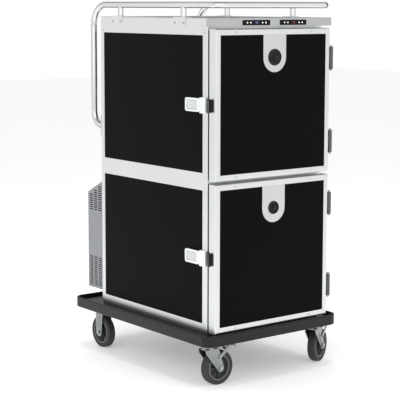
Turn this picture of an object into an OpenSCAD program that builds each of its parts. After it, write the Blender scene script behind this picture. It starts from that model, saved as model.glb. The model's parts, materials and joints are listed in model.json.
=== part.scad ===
// Mobile hot-and-cold meal trolley: an insulated two-door cabinet on a bumper base with four castors.
// The doors face -Y, the width runs along X, and z = 0 is the floor under the middle of the bumper.

/* [Overall] */
// Height from the floor to the top of the gallery rail
total_h = 1615; // [1570:5:1680]
// Floor to the underside of the bumper, which is the castors' mounting height
base_z = 186; // [182:1:200]

/* [Bumper] */
// Width over the bumper
bumper_w = 745; // [735:5:800]
// Length over the bumper
bumper_d = 1030; // [1025:5:1100]
// Height of the bumper's rim
bumper_h = 47; // [45:1:49]
// Thickness of the rim
bumper_wall = 12; // [10:1:16]
// Corner radius of the bumper in plan
bumper_corner_r = 45; // [35:5:60]
// Rounding of the rim's edges
bumper_edge_r = 5; // [2:0.5:5]
// Thickness of the tray floor
tray_floor_t = 6; // [4:1:10]
// Height of the chassis tubes under the tray floor
chassis_h = 19; // [15:1:20]
// Width of the chassis tubes
chassis_w = 60; // [40:5:80]
// Wall of the chassis tubes
chassis_wall = 3; // [2:0.5:4]

/* [Cabinet] */
// Width of the cabinet
cab_w = 634; // [600:2:640]
// Distance from the bumper's front edge back to the cabinet's front face
cab_front = 75; // [71:1:85]
// Distance from the cabinet's rear face to the bumper's rear edge
cab_rear = 165; // [155:5:175]
// Thickness of the insulated walls and the frame profiles
wall_t = 40; // [36:1:44]
// Width of the front corner posts, seen from the side
front_post_d = 32; // [28:1:36]
// Width of the rear corner posts, seen from the side
rear_post_d = 28; // [24:1:36]
// Rounding of the posts' outer edges
post_r = 4; // [1:0.5:6]
// Height of the dark plinth on the tray floor
plinth_h = 21; // [18:1:30]
// How far the plinth stands back from the frame
plinth_inset = 4; // [2:1:8]
// Height of the grey strip over the plinth
strip_h = 11; // [8:1:16]
// Height of the bottom rails
bottom_rail_h = 25; // [20:1:35]
// Height of the lower compartment's panels
lower_panel_h = 566; // [540:2:572]
// Height of the middle rails
mid_rail_h = 73; // [60:1:80]
// Height of the top rails
top_rail_h = 68; // [60:1:72]
// How far the panels stand back from the frame
panel_recess = 1; // [0.5:0.5:2]
// Thickness of the top cover sheet
cover_t = 3; // [2:0.5:4]
// Thickness of the stainless liners
liner_t = 1.5; // [1:0.5:3]

/* [Tray runners and air ducts] */
// Most runner pairs in a compartment
runner_levels = 7; // [4:1:9]
// Distance between runner levels
runner_pitch = 72; // [60:1:74]
// Height of the lowest runner over the compartment floor
runner_first_z = 64; // [50:1:80]
// Width of a runner's ledge
runner_ledge = 30; // [20:1:36]
// Depth of a runner's downturned flange
runner_flange = 12; // [8:1:20]
// Sheet thickness of a runner
runner_t = 2; // [1.5:0.5:3]
// Depth of the air ducts at the back of the compartments
duct_d = 55; // [45:1:70]
// Width of the air ducts
duct_w = 480; // [400:10:500]
// Diameter of the intake grille in each duct
duct_grille_d = 180; // [140:10:220]

/* [Doors] */
// Thickness of a door without its gasket
door_t = 42; // [36:1:46]
// Width of a door's frame profile
door_frame_w = 25; // [20:1:32]
// Rounding of the frame's front edges
door_edge_r = 6; // [3:1:8]
// Gap between the two doors
door_gap = 13; // [8:1:16]
// Gap between the upper door and the fascia
door_top_gap = 10; // [6:1:14]
// How far the lower door hangs below the bottom rail
door_drop = 8; // [4:1:8]
// Thickness of the gasket
gasket_t = 12; // [8:1:14]
// Width of the gasket strip
gasket_w = 18; // [12:1:20]
// Distance of the gasket from the door's edge
gasket_inset = 8; // [6:1:12]
// Width of the vent plate
vent_plate_w = 126; // [110:2:140]
// Length of the vent plate below the frame
vent_plate_h = 158; // [140:2:180]
// Thickness of the vent plate
vent_plate_t = 1.6; // [1:0.2:2.4]
// Diameter of the upper door's vent
upper_vent_d = 68; // [60:1:76]
// Diameter of the lower door's vent
lower_vent_d = 54; // [46:1:60]
// How far a vent's ring stands out of its plate
vent_ring_h = 6; // [4:0.5:9]

/* [Hinges] */
// Length of a hinge
hinge_len = 97; // [80:1:120]
// Distance from the door's end to the middle of a hinge
hinge_inset = 131; // [100:1:160]
// Radius of the knuckles
knuckle_r = 9; // [7:0.5:9.5]
// Distance from the cabinet's side to the hinge axis
hinge_out = 15; // [14:0.5:18]
// Distance from the door's front face back to the hinge axis
hinge_back = 8; // [6:0.5:8.5]
// Radius of the hinge pins
hinge_pin_r = 4; // [3:0.5:5]
// Thickness of the hinge leaves
leaf_t = 2.5; // [2:0.5:3]

/* [Latches] */
// Length of the latch base along the cabinet
latch_base_l = 40; // [34:1:46]
// Height of the latch base
latch_base_h = 66; // [60:1:80]
// How far the latch base stands out of the cabinet
latch_base_t = 14; // [12:1:20]
// Length of the paddle behind the base
paddle_l = 98; // [80:1:120]
// Height of the paddle
paddle_h = 57; // [50:1:58]
// Thickness of the paddle's rim
paddle_t = 9; // [7:0.5:10]
// Reach of the catch over the door's edge
catch_l = 30; // [26:1:34]

/* [Fascia] */
// Height of the control fascia
fascia_h = 35; // [32:1:40]
// Width of the control fascia
fascia_w = 648; // [642:2:664]
// Sheet thickness of the fascia
fascia_sheet = 2; // [1.5:0.5:3]
// Width of a controller
controller_w = 148; // [130:2:160]
// Height of a controller
controller_h = 22; // [18:1:25]
// Distance of each controller from the middle
controller_x = 102; // [90:1:120]
// How far a controller's bezel stands out
controller_out = 2; // [1:0.5:4]

/* [Gallery rail] */
// Diameter of the rail tube
rail_d = 26; // [22:1:30]
// Height of the rail's middle over the cabinet's top
rail_rise = 53; // [45:1:65]
// Distance of the rail's side runs inside the cabinet's sides
rail_x = 11; // [2:1:17]
// Distance of the rail's front run in front of the cabinet
rail_front = 58; // [50:1:62]
// Bend radius at the two front corners
rail_corner_r = 40; // [35:1:60]
// Distance of the push handles behind the cabinet
handle_out = 71; // [65:1:80]
// Bend radius at the top of the push handles
handle_bend_r = 95; // [80:1:110]
// Bend radius at the foot of the push handles
handle_foot_r = 62; // [50:1:62]
// Height of the handles' feet
handle_foot_z = 1050; // [1000:5:1100]
// Diameter of the rail's posts
post_d = 24; // [20:1:25]
// Distance of the rear posts from the cabinet's rear face
rear_post_y = 146; // [120:1:170]
// Distance of the front posts from the cabinet's front face
front_post_y = 178; // [150:1:200]
// Length of a rail bracket
bracket_l = 84; // [70:1:100]
// How far a bracket reaches down the side
bracket_h = 38; // [30:1:50]
// Thickness of a bracket
bracket_t = 3; // [2:0.5:4]

/* [Cooling unit] */
// Depth of the unit behind the cabinet
unit_d = 115; // [110:1:125]
// Height of the unit's underside over the cabinet frame's
unit_z = 40; // [32:1:57]
// Height of the unit's rear face
unit_rear_h = 450; // [430:5:460]
// Rise of the sloping top from rear to front
unit_rise = 57; // [30:1:70]
// Sheet thickness of the unit's cover
unit_sheet = 2; // [1.5:0.5:3]
// Length of a louvre slot
slot_l = 27; // [22:1:30]
// Height of a louvre slot
slot_h = 4.5; // [3:0.5:6]
// Distance between louvre rows
slot_pitch = 10; // [8:0.5:12]
// Diameter of the condenser fan
fan_d = 86; // [76:2:90]

/* [Castors] */
// Wheel diameter
wheel_d = 150; // [140:2:152]
// Tyre width
tyre_w = 38; // [30:1:42]
// Outer diameter of the wheel's hub
rim_d = 113; // [100:1:120]
// Radius of the axle bolts
axle_r = 6; // [5:0.5:8]
// Distance from the swivel axis to the axle
trail = 45; // [40:1:48]
// Heading of the right front castor about its swivel axis
right_heading = 24; // [0:1:40]
// Distance of the swivel axes inside the bumper's sides
front_caster_x = 72.5; // [66.5:1:82.5]
// Distance of the swivel axes behind the bumper's front edge
front_caster_y = 85; // [75:1:95]
// Distance of the rear wheels inside the bumper's sides
rear_caster_x = 84.5; // [72.5:1:92.5]
// Distance of the rear axles in front of the bumper's rear edge
rear_caster_y = 130; // [105:1:140]
// Length of a castor's top plate
plate_l = 105; // [95:1:115]
// Width of a castor's top plate
plate_w = 85; // [75:1:90]
// Sheet thickness of plates and forks
fork_t = 4; // [3:0.5:5]
// Distance between a fork's cheeks
fork_gap = 46; // [44:1:52]
// Travel of a brake pedal
pedal_travel = 12; // [8:1:14]

/* [Hidden] */

$fn = 64;

// Clearances that the whole part shares
run_fit = 0.05;
side_gap = 0.5;
seal_gap = 0.3;
cut = 1;

// Levels, from the floor up
tray_z = base_z + chassis_h + tray_floor_t;
strip_z = tray_z + plinth_h;
frame_z = strip_z + strip_h;
lower_z0 = frame_z + bottom_rail_h;
lower_z1 = lower_z0 + lower_panel_h;
upper_z0 = lower_z1 + mid_rail_h;
rail_z = total_h - rail_d / 2;
cab_z1 = rail_z - rail_rise;
frame_z1 = cab_z1 - cover_t;
upper_z1 = frame_z1 - top_rail_h;

// The three rail levels of the frame and the two bays between them, as [z0, z1]
RAILS = [[frame_z, lower_z0], [lower_z1, upper_z0], [upper_z1, frame_z1]];
BAYS = [[lower_z0, lower_z1], [upper_z0, upper_z1]];

// Cabinet planes
side_x = cab_w / 2;
wall_x = side_x - wall_t;
front_y = -bumper_d / 2 + cab_front;
inner_front_y = front_y + front_post_d;
rear_y = bumper_d / 2 - cab_rear;
inner_rear_y = rear_y - rear_post_d;
back_wall_y = rear_y - wall_t;

// Door planes
door_back_y = front_y - gasket_t;
door_front_y = door_back_y - door_t;
split_z = (lower_z1 + upper_z0) / 2;
fascia_z = cab_z1 - fascia_h;
UPPER = [split_z + door_gap / 2, fascia_z - door_top_gap, upper_vent_d];
LOWER = [frame_z - door_drop, split_z - door_gap / 2, lower_vent_d];
DOORS = [UPPER, LOWER];

// Hinge axis, shared by both doors
hinge_x = side_x + hinge_out;
hinge_y = door_front_y + hinge_back;
hinge_seg = hinge_len / 4;

// Latch planes: the catch clears the keeper on the door's edge by keeper_gap
keeper_t = 1.5;
keeper_gap = 1;
latch_front_y = front_y - 3;
latch_rear_y = latch_front_y + latch_base_l;
latch_pivot_y = latch_rear_y - 5;
latch_pivot_x = -(side_x + latch_base_t / 2);
latch_pin_r = 3;

// Rail runs, posts and brackets; the brackets sit off centre under their posts
rail_side_x = side_x - rail_x;
rail_front_y = front_y - rail_front;
handle_y = rear_y + handle_out;
POSTS_Y = [front_y + front_post_y, rear_y - rear_post_y];
bracket_y_shift = 12;
bracket_edge = 4;
screw_drop = 21;
screw_spread = 61;

// Hinge leaves: the cabinet leaf passes outside the door leaf by leaf_gap
leaf_gap = 0.5;
leaf_rim = 4;
web_t = 4;
screw_r = 2.5;
nub_out = 2;

// Controllers, centred a little below the fascia's middle
controller_z = fascia_z + fascia_h / 2 - 2;
controller_body_w = controller_w - 8;
controller_body_h = controller_h - 6;

// Door vents
vent_drop = vent_plate_h - vent_plate_w / 2;
vent_wall = 4;
vent_face_y = door_front_y + panel_recess;
vent_pin_r = 4;

// Castor levels
axle_z = wheel_d / 2;
plate_z = base_z - fork_t;
race_r = 30;
race_step = 2;
race_h = 10;
crown_z1 = plate_z - race_h - seal_gap;
crown_z0 = crown_z1 - 14;
pin_r = 6;
cheek_y = fork_gap / 2;
cheek_r1 = 17;
cheek_r2 = 34;
cheek_drop = crown_z0 + 2 - axle_z;
cheek_reach = sqrt(trail * trail + cheek_drop * cheek_drop);
bolt_head_r = 10;
bolt_head_h = 7;
barrel_r = 17;
front_x = bumper_w / 2 - front_caster_x;
rear_x = bumper_w / 2 - rear_caster_x;
front_axis_y = -bumper_d / 2 + front_caster_y;
rear_axle_y = bumper_d / 2 - rear_caster_y;
FRONT_LEFT = [-front_x, front_axis_y];
FRONT_RIGHT = [front_x, front_axis_y];
REAR_LEFT = [-rear_x, rear_axle_y];
REAR_RIGHT = [rear_x, rear_axle_y];

// Bolt holes of a castor plate
hole_inset = 13;
hole_x = plate_l / 2 - hole_inset;
hole_y = plate_w / 2 - hole_inset;
bolt_r = 6.5;
bolt_h = 5;

// Pressed ribs on the forks' cheeks
cheek_rib_w = 4;
cheek_rib_h = 1.2;

// Brake pedal: its pivot as [x, z], its arms, its tread and the shoe under it
pedal_pivot = [trail - 7, axle_z + 47];
pedal_pin_r = 4;
arm_t = 3;
arm_gap = 0.4;
arm_r1 = 8;
arm_r2 = 6.5;
tread_x0 = trail + 39;
tread_l = 42;
tread_t = 4;
tread_z = crown_z1 - 8;
shoe_x = tread_x0 + 1 - pedal_pivot[0];
shoe_l = 10;
shoe_w = 24;

// Cooling unit planes
unit_y1 = rear_y + unit_d;
unit_z0 = frame_z + unit_z;
unit_z1 = unit_z0 + unit_rear_h;
unit_floor_z = unit_z0 + unit_sheet;

// Mains inlet and compressor, by their distance inside the unit's right-hand side
inlet_side = 82;
inlet_up = 60;
inlet_body_w = 49;
inlet_body_h = 29;
inlet_x = side_x - inlet_side;
inlet_z = unit_z0 + inlet_up;
compressor_side = 197;
compressor_x = side_x - compressor_side;

// Condenser core, with the fan behind it
core_side = 100;
core_t = 30;
core_foot = 20;
core_x = -side_x + unit_sheet + 6;
fan_x = core_x + core_t + 24;
fan_y = rear_y + unit_d / 2;
fan_z = unit_floor_z + core_foot + core_side / 2;
fan_hub_l = 14;
fan_shaft_r = 3;

// ---------------------------------------------------------------- helpers

// A box between two corners
module block(x0, x1, y0, y1, z0, z1) {
    translate([x0, y0, z0]) cube([x1 - x0, y1 - y0, z1 - z0]);
}

// The children, and their mirror image on the other side of the middle plane
module both_sides() {
    children();
    mirror([1, 0, 0]) children();
}

// A rectangle with four round corners, centred
module round_rect(w, h, r) {
    square([w - 2 * r, h], center = true);
    square([w, h - 2 * r], center = true);
    for (sx = [-1, 1], sy = [-1, 1]) translate([sx * (w / 2 - r), sy * (h / 2 - r)]) circle(r);
}

// Draws a section, made in the x-z plane, round a rectangle with round corners;
// the section's x = 0 runs along the rectangle and its +x points outwards
module ring_sweep(w, d, r) {
    for (i = [0, 1]) rotate(180 * i) {
        translate([w / 2, 0, 0]) rotate([90, 0, 0]) linear_extrude(d - 2 * r, center = true) children();
        rotate(90) translate([d / 2, 0, 0]) rotate([90, 0, 0])
            linear_extrude(w - 2 * r, center = true) children();
    }
    for (sx = [0, 1], sy = [0, 1]) mirror([sx, 0, 0]) mirror([0, sy, 0])
        translate([w / 2 - r, d / 2 - r, 0]) rotate_extrude(angle = 90) translate([r, 0]) children();
}

// A rectangle, x from -w / 2 to w / 2 and y from 0 to t, with its two corners at y = 0 rounded
module front_round_rect(w, t, r) {
    translate([-w / 2, r]) square([w, t - r]);
    translate([-w / 2 + r, 0]) square([w - 2 * r, t]);
    for (s = [-1, 1]) translate([s * (w / 2 - r), r]) circle(r);
}

// A link outline from a circle of r1 at the origin to a circle of r2 at distance d on +x;
// its straight sides lie a hair inside the common tangents, so they cross the circles cleanly
module taper_link(r1, r2, d) {
    hair = 0.05;
    a = acos((r1 - r2) / d);
    p1 = r1 - hair;
    p2 = r2 - hair;
    circle(r1);
    translate([d, 0]) circle(r2);
    polygon([
        [p1 * cos(a), p1 * sin(a)], [p1 * cos(a), -p1 * sin(a)],
        [d + p2 * cos(a), -p2 * sin(a)], [d + p2 * cos(a), p2 * sin(a)]
    ]);
}

// A cylinder along y from y0 to y1
module rod_y(r, y0, y1) {
    translate([0, y1, 0]) rotate([90, 0, 0]) cylinder(r = r, h = y1 - y0);
}

// A hexagon head or nut along y from y0 to y1
module hex_y(r, y0, y1) {
    translate([0, y1, 0]) rotate([90, 0, 0]) cylinder(r = r, h = y1 - y0, $fn = 6);
}

// ---------------------------------------------------------------- base

// Moulded bumper: a rounded rim all round a flat tray floor
module bumper_tray() {
    color("#26282a") {
        ring_sweep(bumper_w, bumper_d, bumper_corner_r)
            translate([-bumper_wall / 2, base_z + bumper_h / 2])
                round_rect(bumper_wall, bumper_h, bumper_edge_r);
        translate([0, 0, tray_z - tray_floor_t]) linear_extrude(tray_floor_t)
            round_rect(bumper_w - bumper_wall, bumper_d - bumper_wall, bumper_corner_r - bumper_wall / 2);
    }
}

// Hollow rectangular tube along y
module tube_y(x, y0, y1) {
    difference() {
        block(x - chassis_w / 2, x + chassis_w / 2, y0, y1, base_z, base_z + chassis_h);
        block(x - chassis_w / 2 + chassis_wall, x + chassis_w / 2 - chassis_wall, y0 - cut, y1 + cut,
            base_z + chassis_wall, base_z + chassis_h - chassis_wall);
    }
}

// Two long tubes carry the castors, three cross tubes join them
module chassis_frame() {
    past = 12;
    x1 = front_x - chassis_w / 2;
    y0 = front_axis_y - plate_w / 2 - past;
    y1 = rear_axle_y + plate_l / 2 + past;
    color("#3a3c3f") {
        both_sides() tube_y(front_x, y0, y1);
        for (y = [front_axis_y, (front_axis_y + rear_axle_y) / 2, rear_axle_y])
            translate([0, y, 0]) rotate(90) tube_y(0, -x1, x1);
    }
}

// Dark plinth ring standing on the tray floor
module plinth() {
    color("#3c3e40") translate([0, (front_y + rear_y) / 2, tray_z]) linear_extrude(plinth_h)
        difference() {
            square([cab_w - 2 * plinth_inset, rear_y - front_y - 2 * plinth_inset], center = true);
            square([cab_w - 2 * wall_t, rear_y - front_y - 2 * wall_t], center = true);
        }
}

// Grey strip between the plinth and the bottom rails
module base_strip() {
    color("#8f9193") translate([0, (front_y + rear_y) / 2, strip_z]) linear_extrude(strip_h)
        difference() {
            square([cab_w - 2 * panel_recess, rear_y - front_y - 2 * panel_recess], center = true);
            square([cab_w - 2 * wall_t, rear_y - front_y - 2 * wall_t], center = true);
        }
}

// ---------------------------------------------------------------- cabinet

// One corner post with its outer edge rounded; sy is the side of the corner that faces out
module post(y0, y1, sy) {
    edge_y = sy < 0 ? y0 + post_r : y1 - post_r;
    translate([0, 0, frame_z]) linear_extrude(frame_z1 - frame_z) {
        translate([wall_x, y0]) square([wall_t - post_r, y1 - y0]);
        translate([wall_x, sy < 0 ? edge_y : y0]) square([wall_t, y1 - y0 - post_r]);
        translate([side_x - post_r, edge_y]) circle(post_r);
    }
}

module corner_posts() {
    color("#d9dbdc") both_sides() {
        post(front_y, inner_front_y, -1);
        post(inner_rear_y, rear_y, 1);
    }
}

module side_rails() {
    color("#d9dbdc") both_sides() for (r = RAILS)
        block(wall_x, side_x, inner_front_y, inner_rear_y, r[0], r[1]);
}

module cross_rails() {
    color("#d9dbdc") for (r = RAILS) {
        block(-wall_x, wall_x, front_y, inner_front_y, r[0], r[1]);
        block(-wall_x, wall_x, back_wall_y, rear_y, r[0], r[1]);
    }
}

// Black insulated boards that fill the frame's sides
module side_panels() {
    color("#1c1d1f") both_sides() for (b = BAYS)
        block(wall_x, side_x - panel_recess, inner_front_y, inner_rear_y, b[0], b[1]);
}

module rear_panels() {
    color("#1c1d1f") for (b = BAYS)
        block(-wall_x, wall_x, back_wall_y, rear_y - panel_recess, b[0], b[1]);
}

// Floor, divider and roof boards between the rails
module deck_panels() {
    color("#c9ccd0") for (r = RAILS)
        block(-wall_x, wall_x, inner_front_y, back_wall_y, r[0], r[1]);
}

module top_cover() {
    color("#d4d6d8") block(-side_x, side_x, front_y, rear_y, frame_z1, cab_z1);
}

// One open-fronted stainless box in each compartment
module liners() {
    color("#c4c7ca") for (b = BAYS) difference() {
        block(-wall_x, wall_x, front_y, back_wall_y, b[0], b[1]);
        block(-wall_x + liner_t, wall_x - liner_t, front_y - cut, back_wall_y - liner_t,
            b[0] + liner_t, b[1] - liner_t);
    }
}

// An angle ledge: flat on top, with a flange turned down along the wall
module runner(z) {
    x1 = wall_x - liner_t;
    y0 = inner_front_y;
    y1 = back_wall_y - liner_t - duct_d - side_gap;
    block(x1 - runner_ledge, x1, y0, y1, z, z + runner_t);
    block(x1 - runner_t, x1, y0, y1, z - runner_flange, z);
}

// Levels that leave a tray's height free under the compartment's roof
module tray_runners() {
    head_room = 60;
    color("#b9bdc1") both_sides() for (b = BAYS, i = [0 : runner_levels - 1]) {
        z = b[0] + liner_t + runner_first_z + i * runner_pitch;
        if (z + head_room < b[1]) runner(z);
    }
}

// Flat air duct on a compartment's back wall, with a ringed intake grille and outlet slots
module air_duct(z0, z1) {
    y1 = back_wall_y - liner_t;
    y0 = y1 - duct_d;
    margin = 18;
    sheet = 1.5;
    ring_w = 7;
    ring_pitch = 14;
    spoke_w = 4;
    slots = 8;
    slot = [50, 8];
    slot_edge = 45;
    slot_step = 42;
    slot_x = duct_w / 2 - slot_edge;
    mid_z = (z0 + z1) / 2;
    slot_z = mid_z - (slots - 1) / 2 * slot_step;
    difference() {
        block(-duct_w / 2, duct_w / 2, y0, y1, z0 + margin, z1 - margin);
        block(-duct_w / 2 + sheet, duct_w / 2 - sheet, y0 + sheet, y1 + cut,
            z0 + margin + sheet, z1 - margin - sheet);
        translate([0, 0, mid_z]) rod_y(duct_grille_d / 2, y0 - cut, y0 + sheet + cut);
        for (s = [-1, 1], i = [0 : slots - 1])
            translate([s * slot_x, y0 + sheet / 2, slot_z + i * slot_step])
                cube([slot[0], sheet + 2 * cut, slot[1]], center = true);
    }
    translate([0, 0, mid_z]) {
        for (r = [ring_w : ring_pitch : duct_grille_d / 2]) difference() {
            rod_y(r, y0, y0 + sheet);
            rod_y(r - ring_w / 2, y0 - cut, y0 + sheet + cut);
        }
        for (a = [0, 60, 120]) translate([0, y0 + sheet / 2, 0]) rotate([0, a, 0])
            cube([duct_grille_d + ring_w, sheet, spoke_w], center = true);
    }
}

module air_ducts() {
    color("#b9bdc1") for (b = BAYS) air_duct(b[0] + liner_t, b[1] - liner_t);
}

// ---------------------------------------------------------------- fascia and controllers

// Folded sheet channel over the doors, open at the back, with two cut-outs
module control_fascia() {
    color("#cfd1d3") difference() {
        block(-fascia_w / 2, fascia_w / 2, door_front_y, front_y, fascia_z, cab_z1);
        block(-fascia_w / 2 + fascia_sheet, fascia_w / 2 - fascia_sheet, door_front_y + fascia_sheet,
            front_y + cut, fascia_z + fascia_sheet, cab_z1 - fascia_sheet);
        for (s = [-1, 1]) translate([s * controller_x, door_front_y, controller_z])
            cube([controller_body_w + 2 * side_gap, 4 * fascia_sheet, controller_body_h + 2 * side_gap],
                center = true);
    }
}

// Slim panel controller: bezel with a sunk display window and four round keys, body behind
module controller() {
    bezel_r = 3;
    window_w = 38;
    window_h = 13;
    window_d = 0.6;
    key_r = 3.2;
    key_h = 0.3;
    key_x = [32, 50];
    body_d = 36;
    translate([0, door_front_y, controller_z]) {
        difference() {
            rotate([90, 0, 0]) linear_extrude(controller_out) round_rect(controller_w, controller_h, bezel_r);
            translate([0, -controller_out, 0]) cube([window_w, 2 * window_d, window_h], center = true);
        }
        translate([-controller_body_w / 2, -controller_out / 2, -controller_body_h / 2])
            cube([controller_body_w, body_d, controller_body_h]);
        for (s = [-1, 1], x = key_x)
            translate([s * x, -controller_out, 0]) rotate([90, 0, 0]) cylinder(r = key_r, h = key_h);
    }
}

module cold_controller() {
    color("#141416") translate([-controller_x, 0, 0]) controller();
}

module hot_controller() {
    color("#141416") translate([controller_x, 0, 0]) controller();
}

// ---------------------------------------------------------------- doors

// Mitred aluminium frame: the crossing of an upright and a level section, cut out for the panel
module door_frame(door) {
    h = door[1] - door[0];
    mid_z = (door[0] + door[1]) / 2;
    color("#dcdedf") difference() {
        intersection() {
            translate([0, door_front_y, door[0]]) linear_extrude(h)
                front_round_rect(cab_w, door_t, door_edge_r);
            translate([-side_x, door_front_y, mid_z]) rotate([90, 0, 90]) linear_extrude(cab_w)
                rotate(-90) front_round_rect(h, door_t, door_edge_r);
        }
        block(-side_x + door_frame_w, side_x - door_frame_w, door_front_y - cut, door_back_y + cut,
            door[0] + door_frame_w, door[1] - door_frame_w);
    }
}

// Insulated board inside the frame, set back a little at the front
module door_panel(door) {
    color("#17181a") block(-side_x + door_frame_w, side_x - door_frame_w, door_front_y + panel_recess,
        door_back_y, door[0] + door_frame_w, door[1] - door_frame_w);
}

// Bulb gasket round the door's back: a flat foot on the door and a hollow bulb just off the cabinet
module gasket(door) {
    foot_t = 3;
    bulb_r = (gasket_t - seal_gap) / 2;
    bulb_wall = 1.5;
    corner_r = gasket_w + 2;
    w = cab_w - 2 * gasket_inset;
    h = door[1] - door[0] - 2 * gasket_inset;
    color("#8b8d8f") translate([0, door_back_y, (door[0] + door[1]) / 2]) rotate([-90, 0, 0])
        ring_sweep(w, h, corner_r) difference() {
            union() {
                translate([-gasket_w, 0]) square([gasket_w, foot_t]);
                translate([-gasket_w / 2, bulb_r]) circle(bulb_r);
            }
            translate([-gasket_w / 2, bulb_r]) circle(bulb_r - bulb_wall);
        }
}

// Rounded plate below the frame with a ring and a centre pin for the vent knob
module vent_plate(door) {
    top_z = door[1] - door_frame_w;
    vent_r = door[2] / 2;
    color("#cfd1d3") translate([0, vent_face_y, top_z - vent_drop]) {
        rotate([90, 0, 0]) linear_extrude(vent_plate_t) {
            circle(vent_plate_w / 2);
            translate([-vent_plate_w / 2, 0]) square([vent_plate_w, vent_drop]);
        }
        difference() {
            rod_y(vent_r, -vent_ring_h, 0);
            rod_y(vent_r - vent_wall, -vent_ring_h - cut, -vent_plate_t);
        }
        rod_y(vent_pin_r, -vent_ring_h + 1, 0);
    }
}

// Rotary vent shutter: a dished disc with air windows, a rim of grips and a centre boss on the pin
module vent_knob(door) {
    vent_r = door[2] / 2;
    knob_r = vent_r - vent_wall - side_gap;
    disc_t = 2;
    y1 = -vent_plate_t - side_gap / 2;
    boss_r = 9;
    boss_out = 1;
    rib_t = 1.6;
    rim_w = 3;
    rib_y = -vent_ring_h + 0.5;
    color("#202224") translate([0, vent_face_y, door[1] - door_frame_w - vent_drop]) difference() {
        union() {
            rod_y(knob_r, y1 - disc_t, y1);
            rod_y(boss_r, -vent_ring_h - boss_out, y1);
            difference() {
                rod_y(knob_r, rib_y, y1);
                rod_y(knob_r - rim_w, rib_y - cut, y1 + cut);
            }
            for (a = [0 : 36 : 324]) rotate([0, a, 0])
                block(-rib_t / 2, rib_t / 2, rib_y + 1, y1, 0, knob_r - 1);
        }
        rod_y(vent_pin_r + run_fit, rib_y, y1 + cut);
    }
}

// ---------------------------------------------------------------- hinges

// Places the children at the middle of each hinge of one door
module at_hinges(door) {
    for (z = [door[0] + hinge_inset, door[1] - hinge_inset]) translate([hinge_x, hinge_y, z]) children();
}

// A stretch of knuckle on the hinge axis, still without the pin's bore
module knuckle(z0, z1) {
    translate([0, 0, z0]) cylinder(r = knuckle_r, h = z1 - z0);
}

// Door leaf: a plate on the door's edge and the middle knuckle
module door_leaf() {
    leaf_l = door_t - hinge_back;
    screw_y = leaf_l - 10;
    difference() {
        union() {
            knuckle(-hinge_seg, hinge_seg);
            block(-hinge_out, 0, -web_t / 2, web_t / 2, -hinge_seg, hinge_seg);
            block(-hinge_out, -hinge_out + leaf_t, -web_t / 2, leaf_l, -hinge_len / 2, hinge_len / 2);
        }
        translate([0, 0, -hinge_len]) cylinder(r = hinge_pin_r + run_fit, h = 2 * hinge_len);
        for (z = [-1, 1]) translate([-hinge_out, screw_y, z * hinge_len / 3]) rotate([0, 90, 0])
            cylinder(r = screw_r, h = 3 * leaf_t, center = true);
    }
}

// Cabinet leaf: a plate that passes outside the door leaf to a packer on the corner post
module cabinet_leaf() {
    plate_x = -hinge_out + leaf_t + leaf_gap;
    post_y = front_y - hinge_y;
    plate_y1 = post_y + front_post_d - leaf_rim;
    difference() {
        union() {
            for (s = [0, 1]) mirror([0, 0, s]) {
                knuckle(hinge_seg + leaf_gap, hinge_len / 2);
                block(plate_x, 0, leaf_rim, leaf_rim + web_t - leaf_gap, hinge_seg + leaf_gap, hinge_len / 2);
            }
            block(plate_x, plate_x + leaf_t, leaf_rim, plate_y1, -hinge_len / 2, hinge_len / 2);
            block(-hinge_out, plate_x + leaf_t, post_y + leaf_rim, plate_y1, -hinge_len / 2, hinge_len / 2);
        }
        translate([0, 0, -hinge_len]) cylinder(r = hinge_pin_r + run_fit, h = 2 * hinge_len);
    }
}

module cabinet_hinge_leaves() {
    color("#7d8083") for (door = DOORS) at_hinges(door) cabinet_leaf();
}

// Pins with a rounded nub at each end
module hinge_pins() {
    nub_h = 5;
    color("#55585b") for (door = DOORS) at_hinges(door) {
        cylinder(r = hinge_pin_r, h = hinge_len + 2 * side_gap, center = true);
        for (s = [0, 1]) mirror([0, 0, s]) translate([0, 0, hinge_len / 2 + side_gap]) {
            cylinder(r = hinge_pin_r + nub_out, h = nub_h);
            translate([0, 0, nub_h]) cylinder(r1 = hinge_pin_r + nub_out, r2 = hinge_pin_r, h = nub_out);
        }
    }
}

// Hinge leaves on the right-hand edge and the latch keeper on the left-hand edge of one door
module door_fittings(door) {
    keeper_h = 48;
    keeper_l = door_t - 20;
    color("#8b8e91") {
        at_hinges(door) door_leaf();
        translate([-side_x - keeper_t, door_front_y + 12, (door[0] + door[1] - keeper_h) / 2])
            cube([keeper_t, keeper_l, keeper_h]);
    }
}

// ---------------------------------------------------------------- latches

// Places the children at the height of each latch
module at_latches() {
    for (door = DOORS) translate([0, 0, (door[0] + door[1]) / 2]) children();
}

// Bright block on the corner post, slotted at the back for the paddle's eye
module latch_bases() {
    slot = paddle_h + 2 * side_gap;
    slot_d = 12;
    floor_t = 2;
    color("#e6e8e9") at_latches() difference() {
        translate([-side_x - latch_base_t, (latch_front_y + latch_rear_y) / 2, 0]) rotate([0, 90, 0])
            linear_extrude(latch_base_t) round_rect(latch_base_h, latch_base_l, 3);
        block(-side_x - latch_base_t - cut, -side_x - floor_t, latch_rear_y - slot_d, latch_rear_y + cut,
            -slot / 2, slot / 2);
        translate([latch_pivot_x, latch_pivot_y, -latch_base_h])
            cylinder(r = latch_pin_r + run_fit, h = 2 * latch_base_h);
    }
}

// Black catch that reaches from the base over the door's edge
module latch_catches() {
    h = latch_base_h - 8;
    x1 = -side_x - keeper_t - keeper_gap;
    depth = latch_base_t - keeper_t - keeper_gap - 2;
    color("#17181a") at_latches() translate([x1 - depth / 2, latch_front_y, 0]) {
        block(-depth / 2, depth / 2, -catch_l + depth / 2, 0, -h / 2, h / 2);
        translate([0, -catch_l + depth / 2, -h / 2]) cylinder(r = depth / 2, h = h);
    }
}

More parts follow.
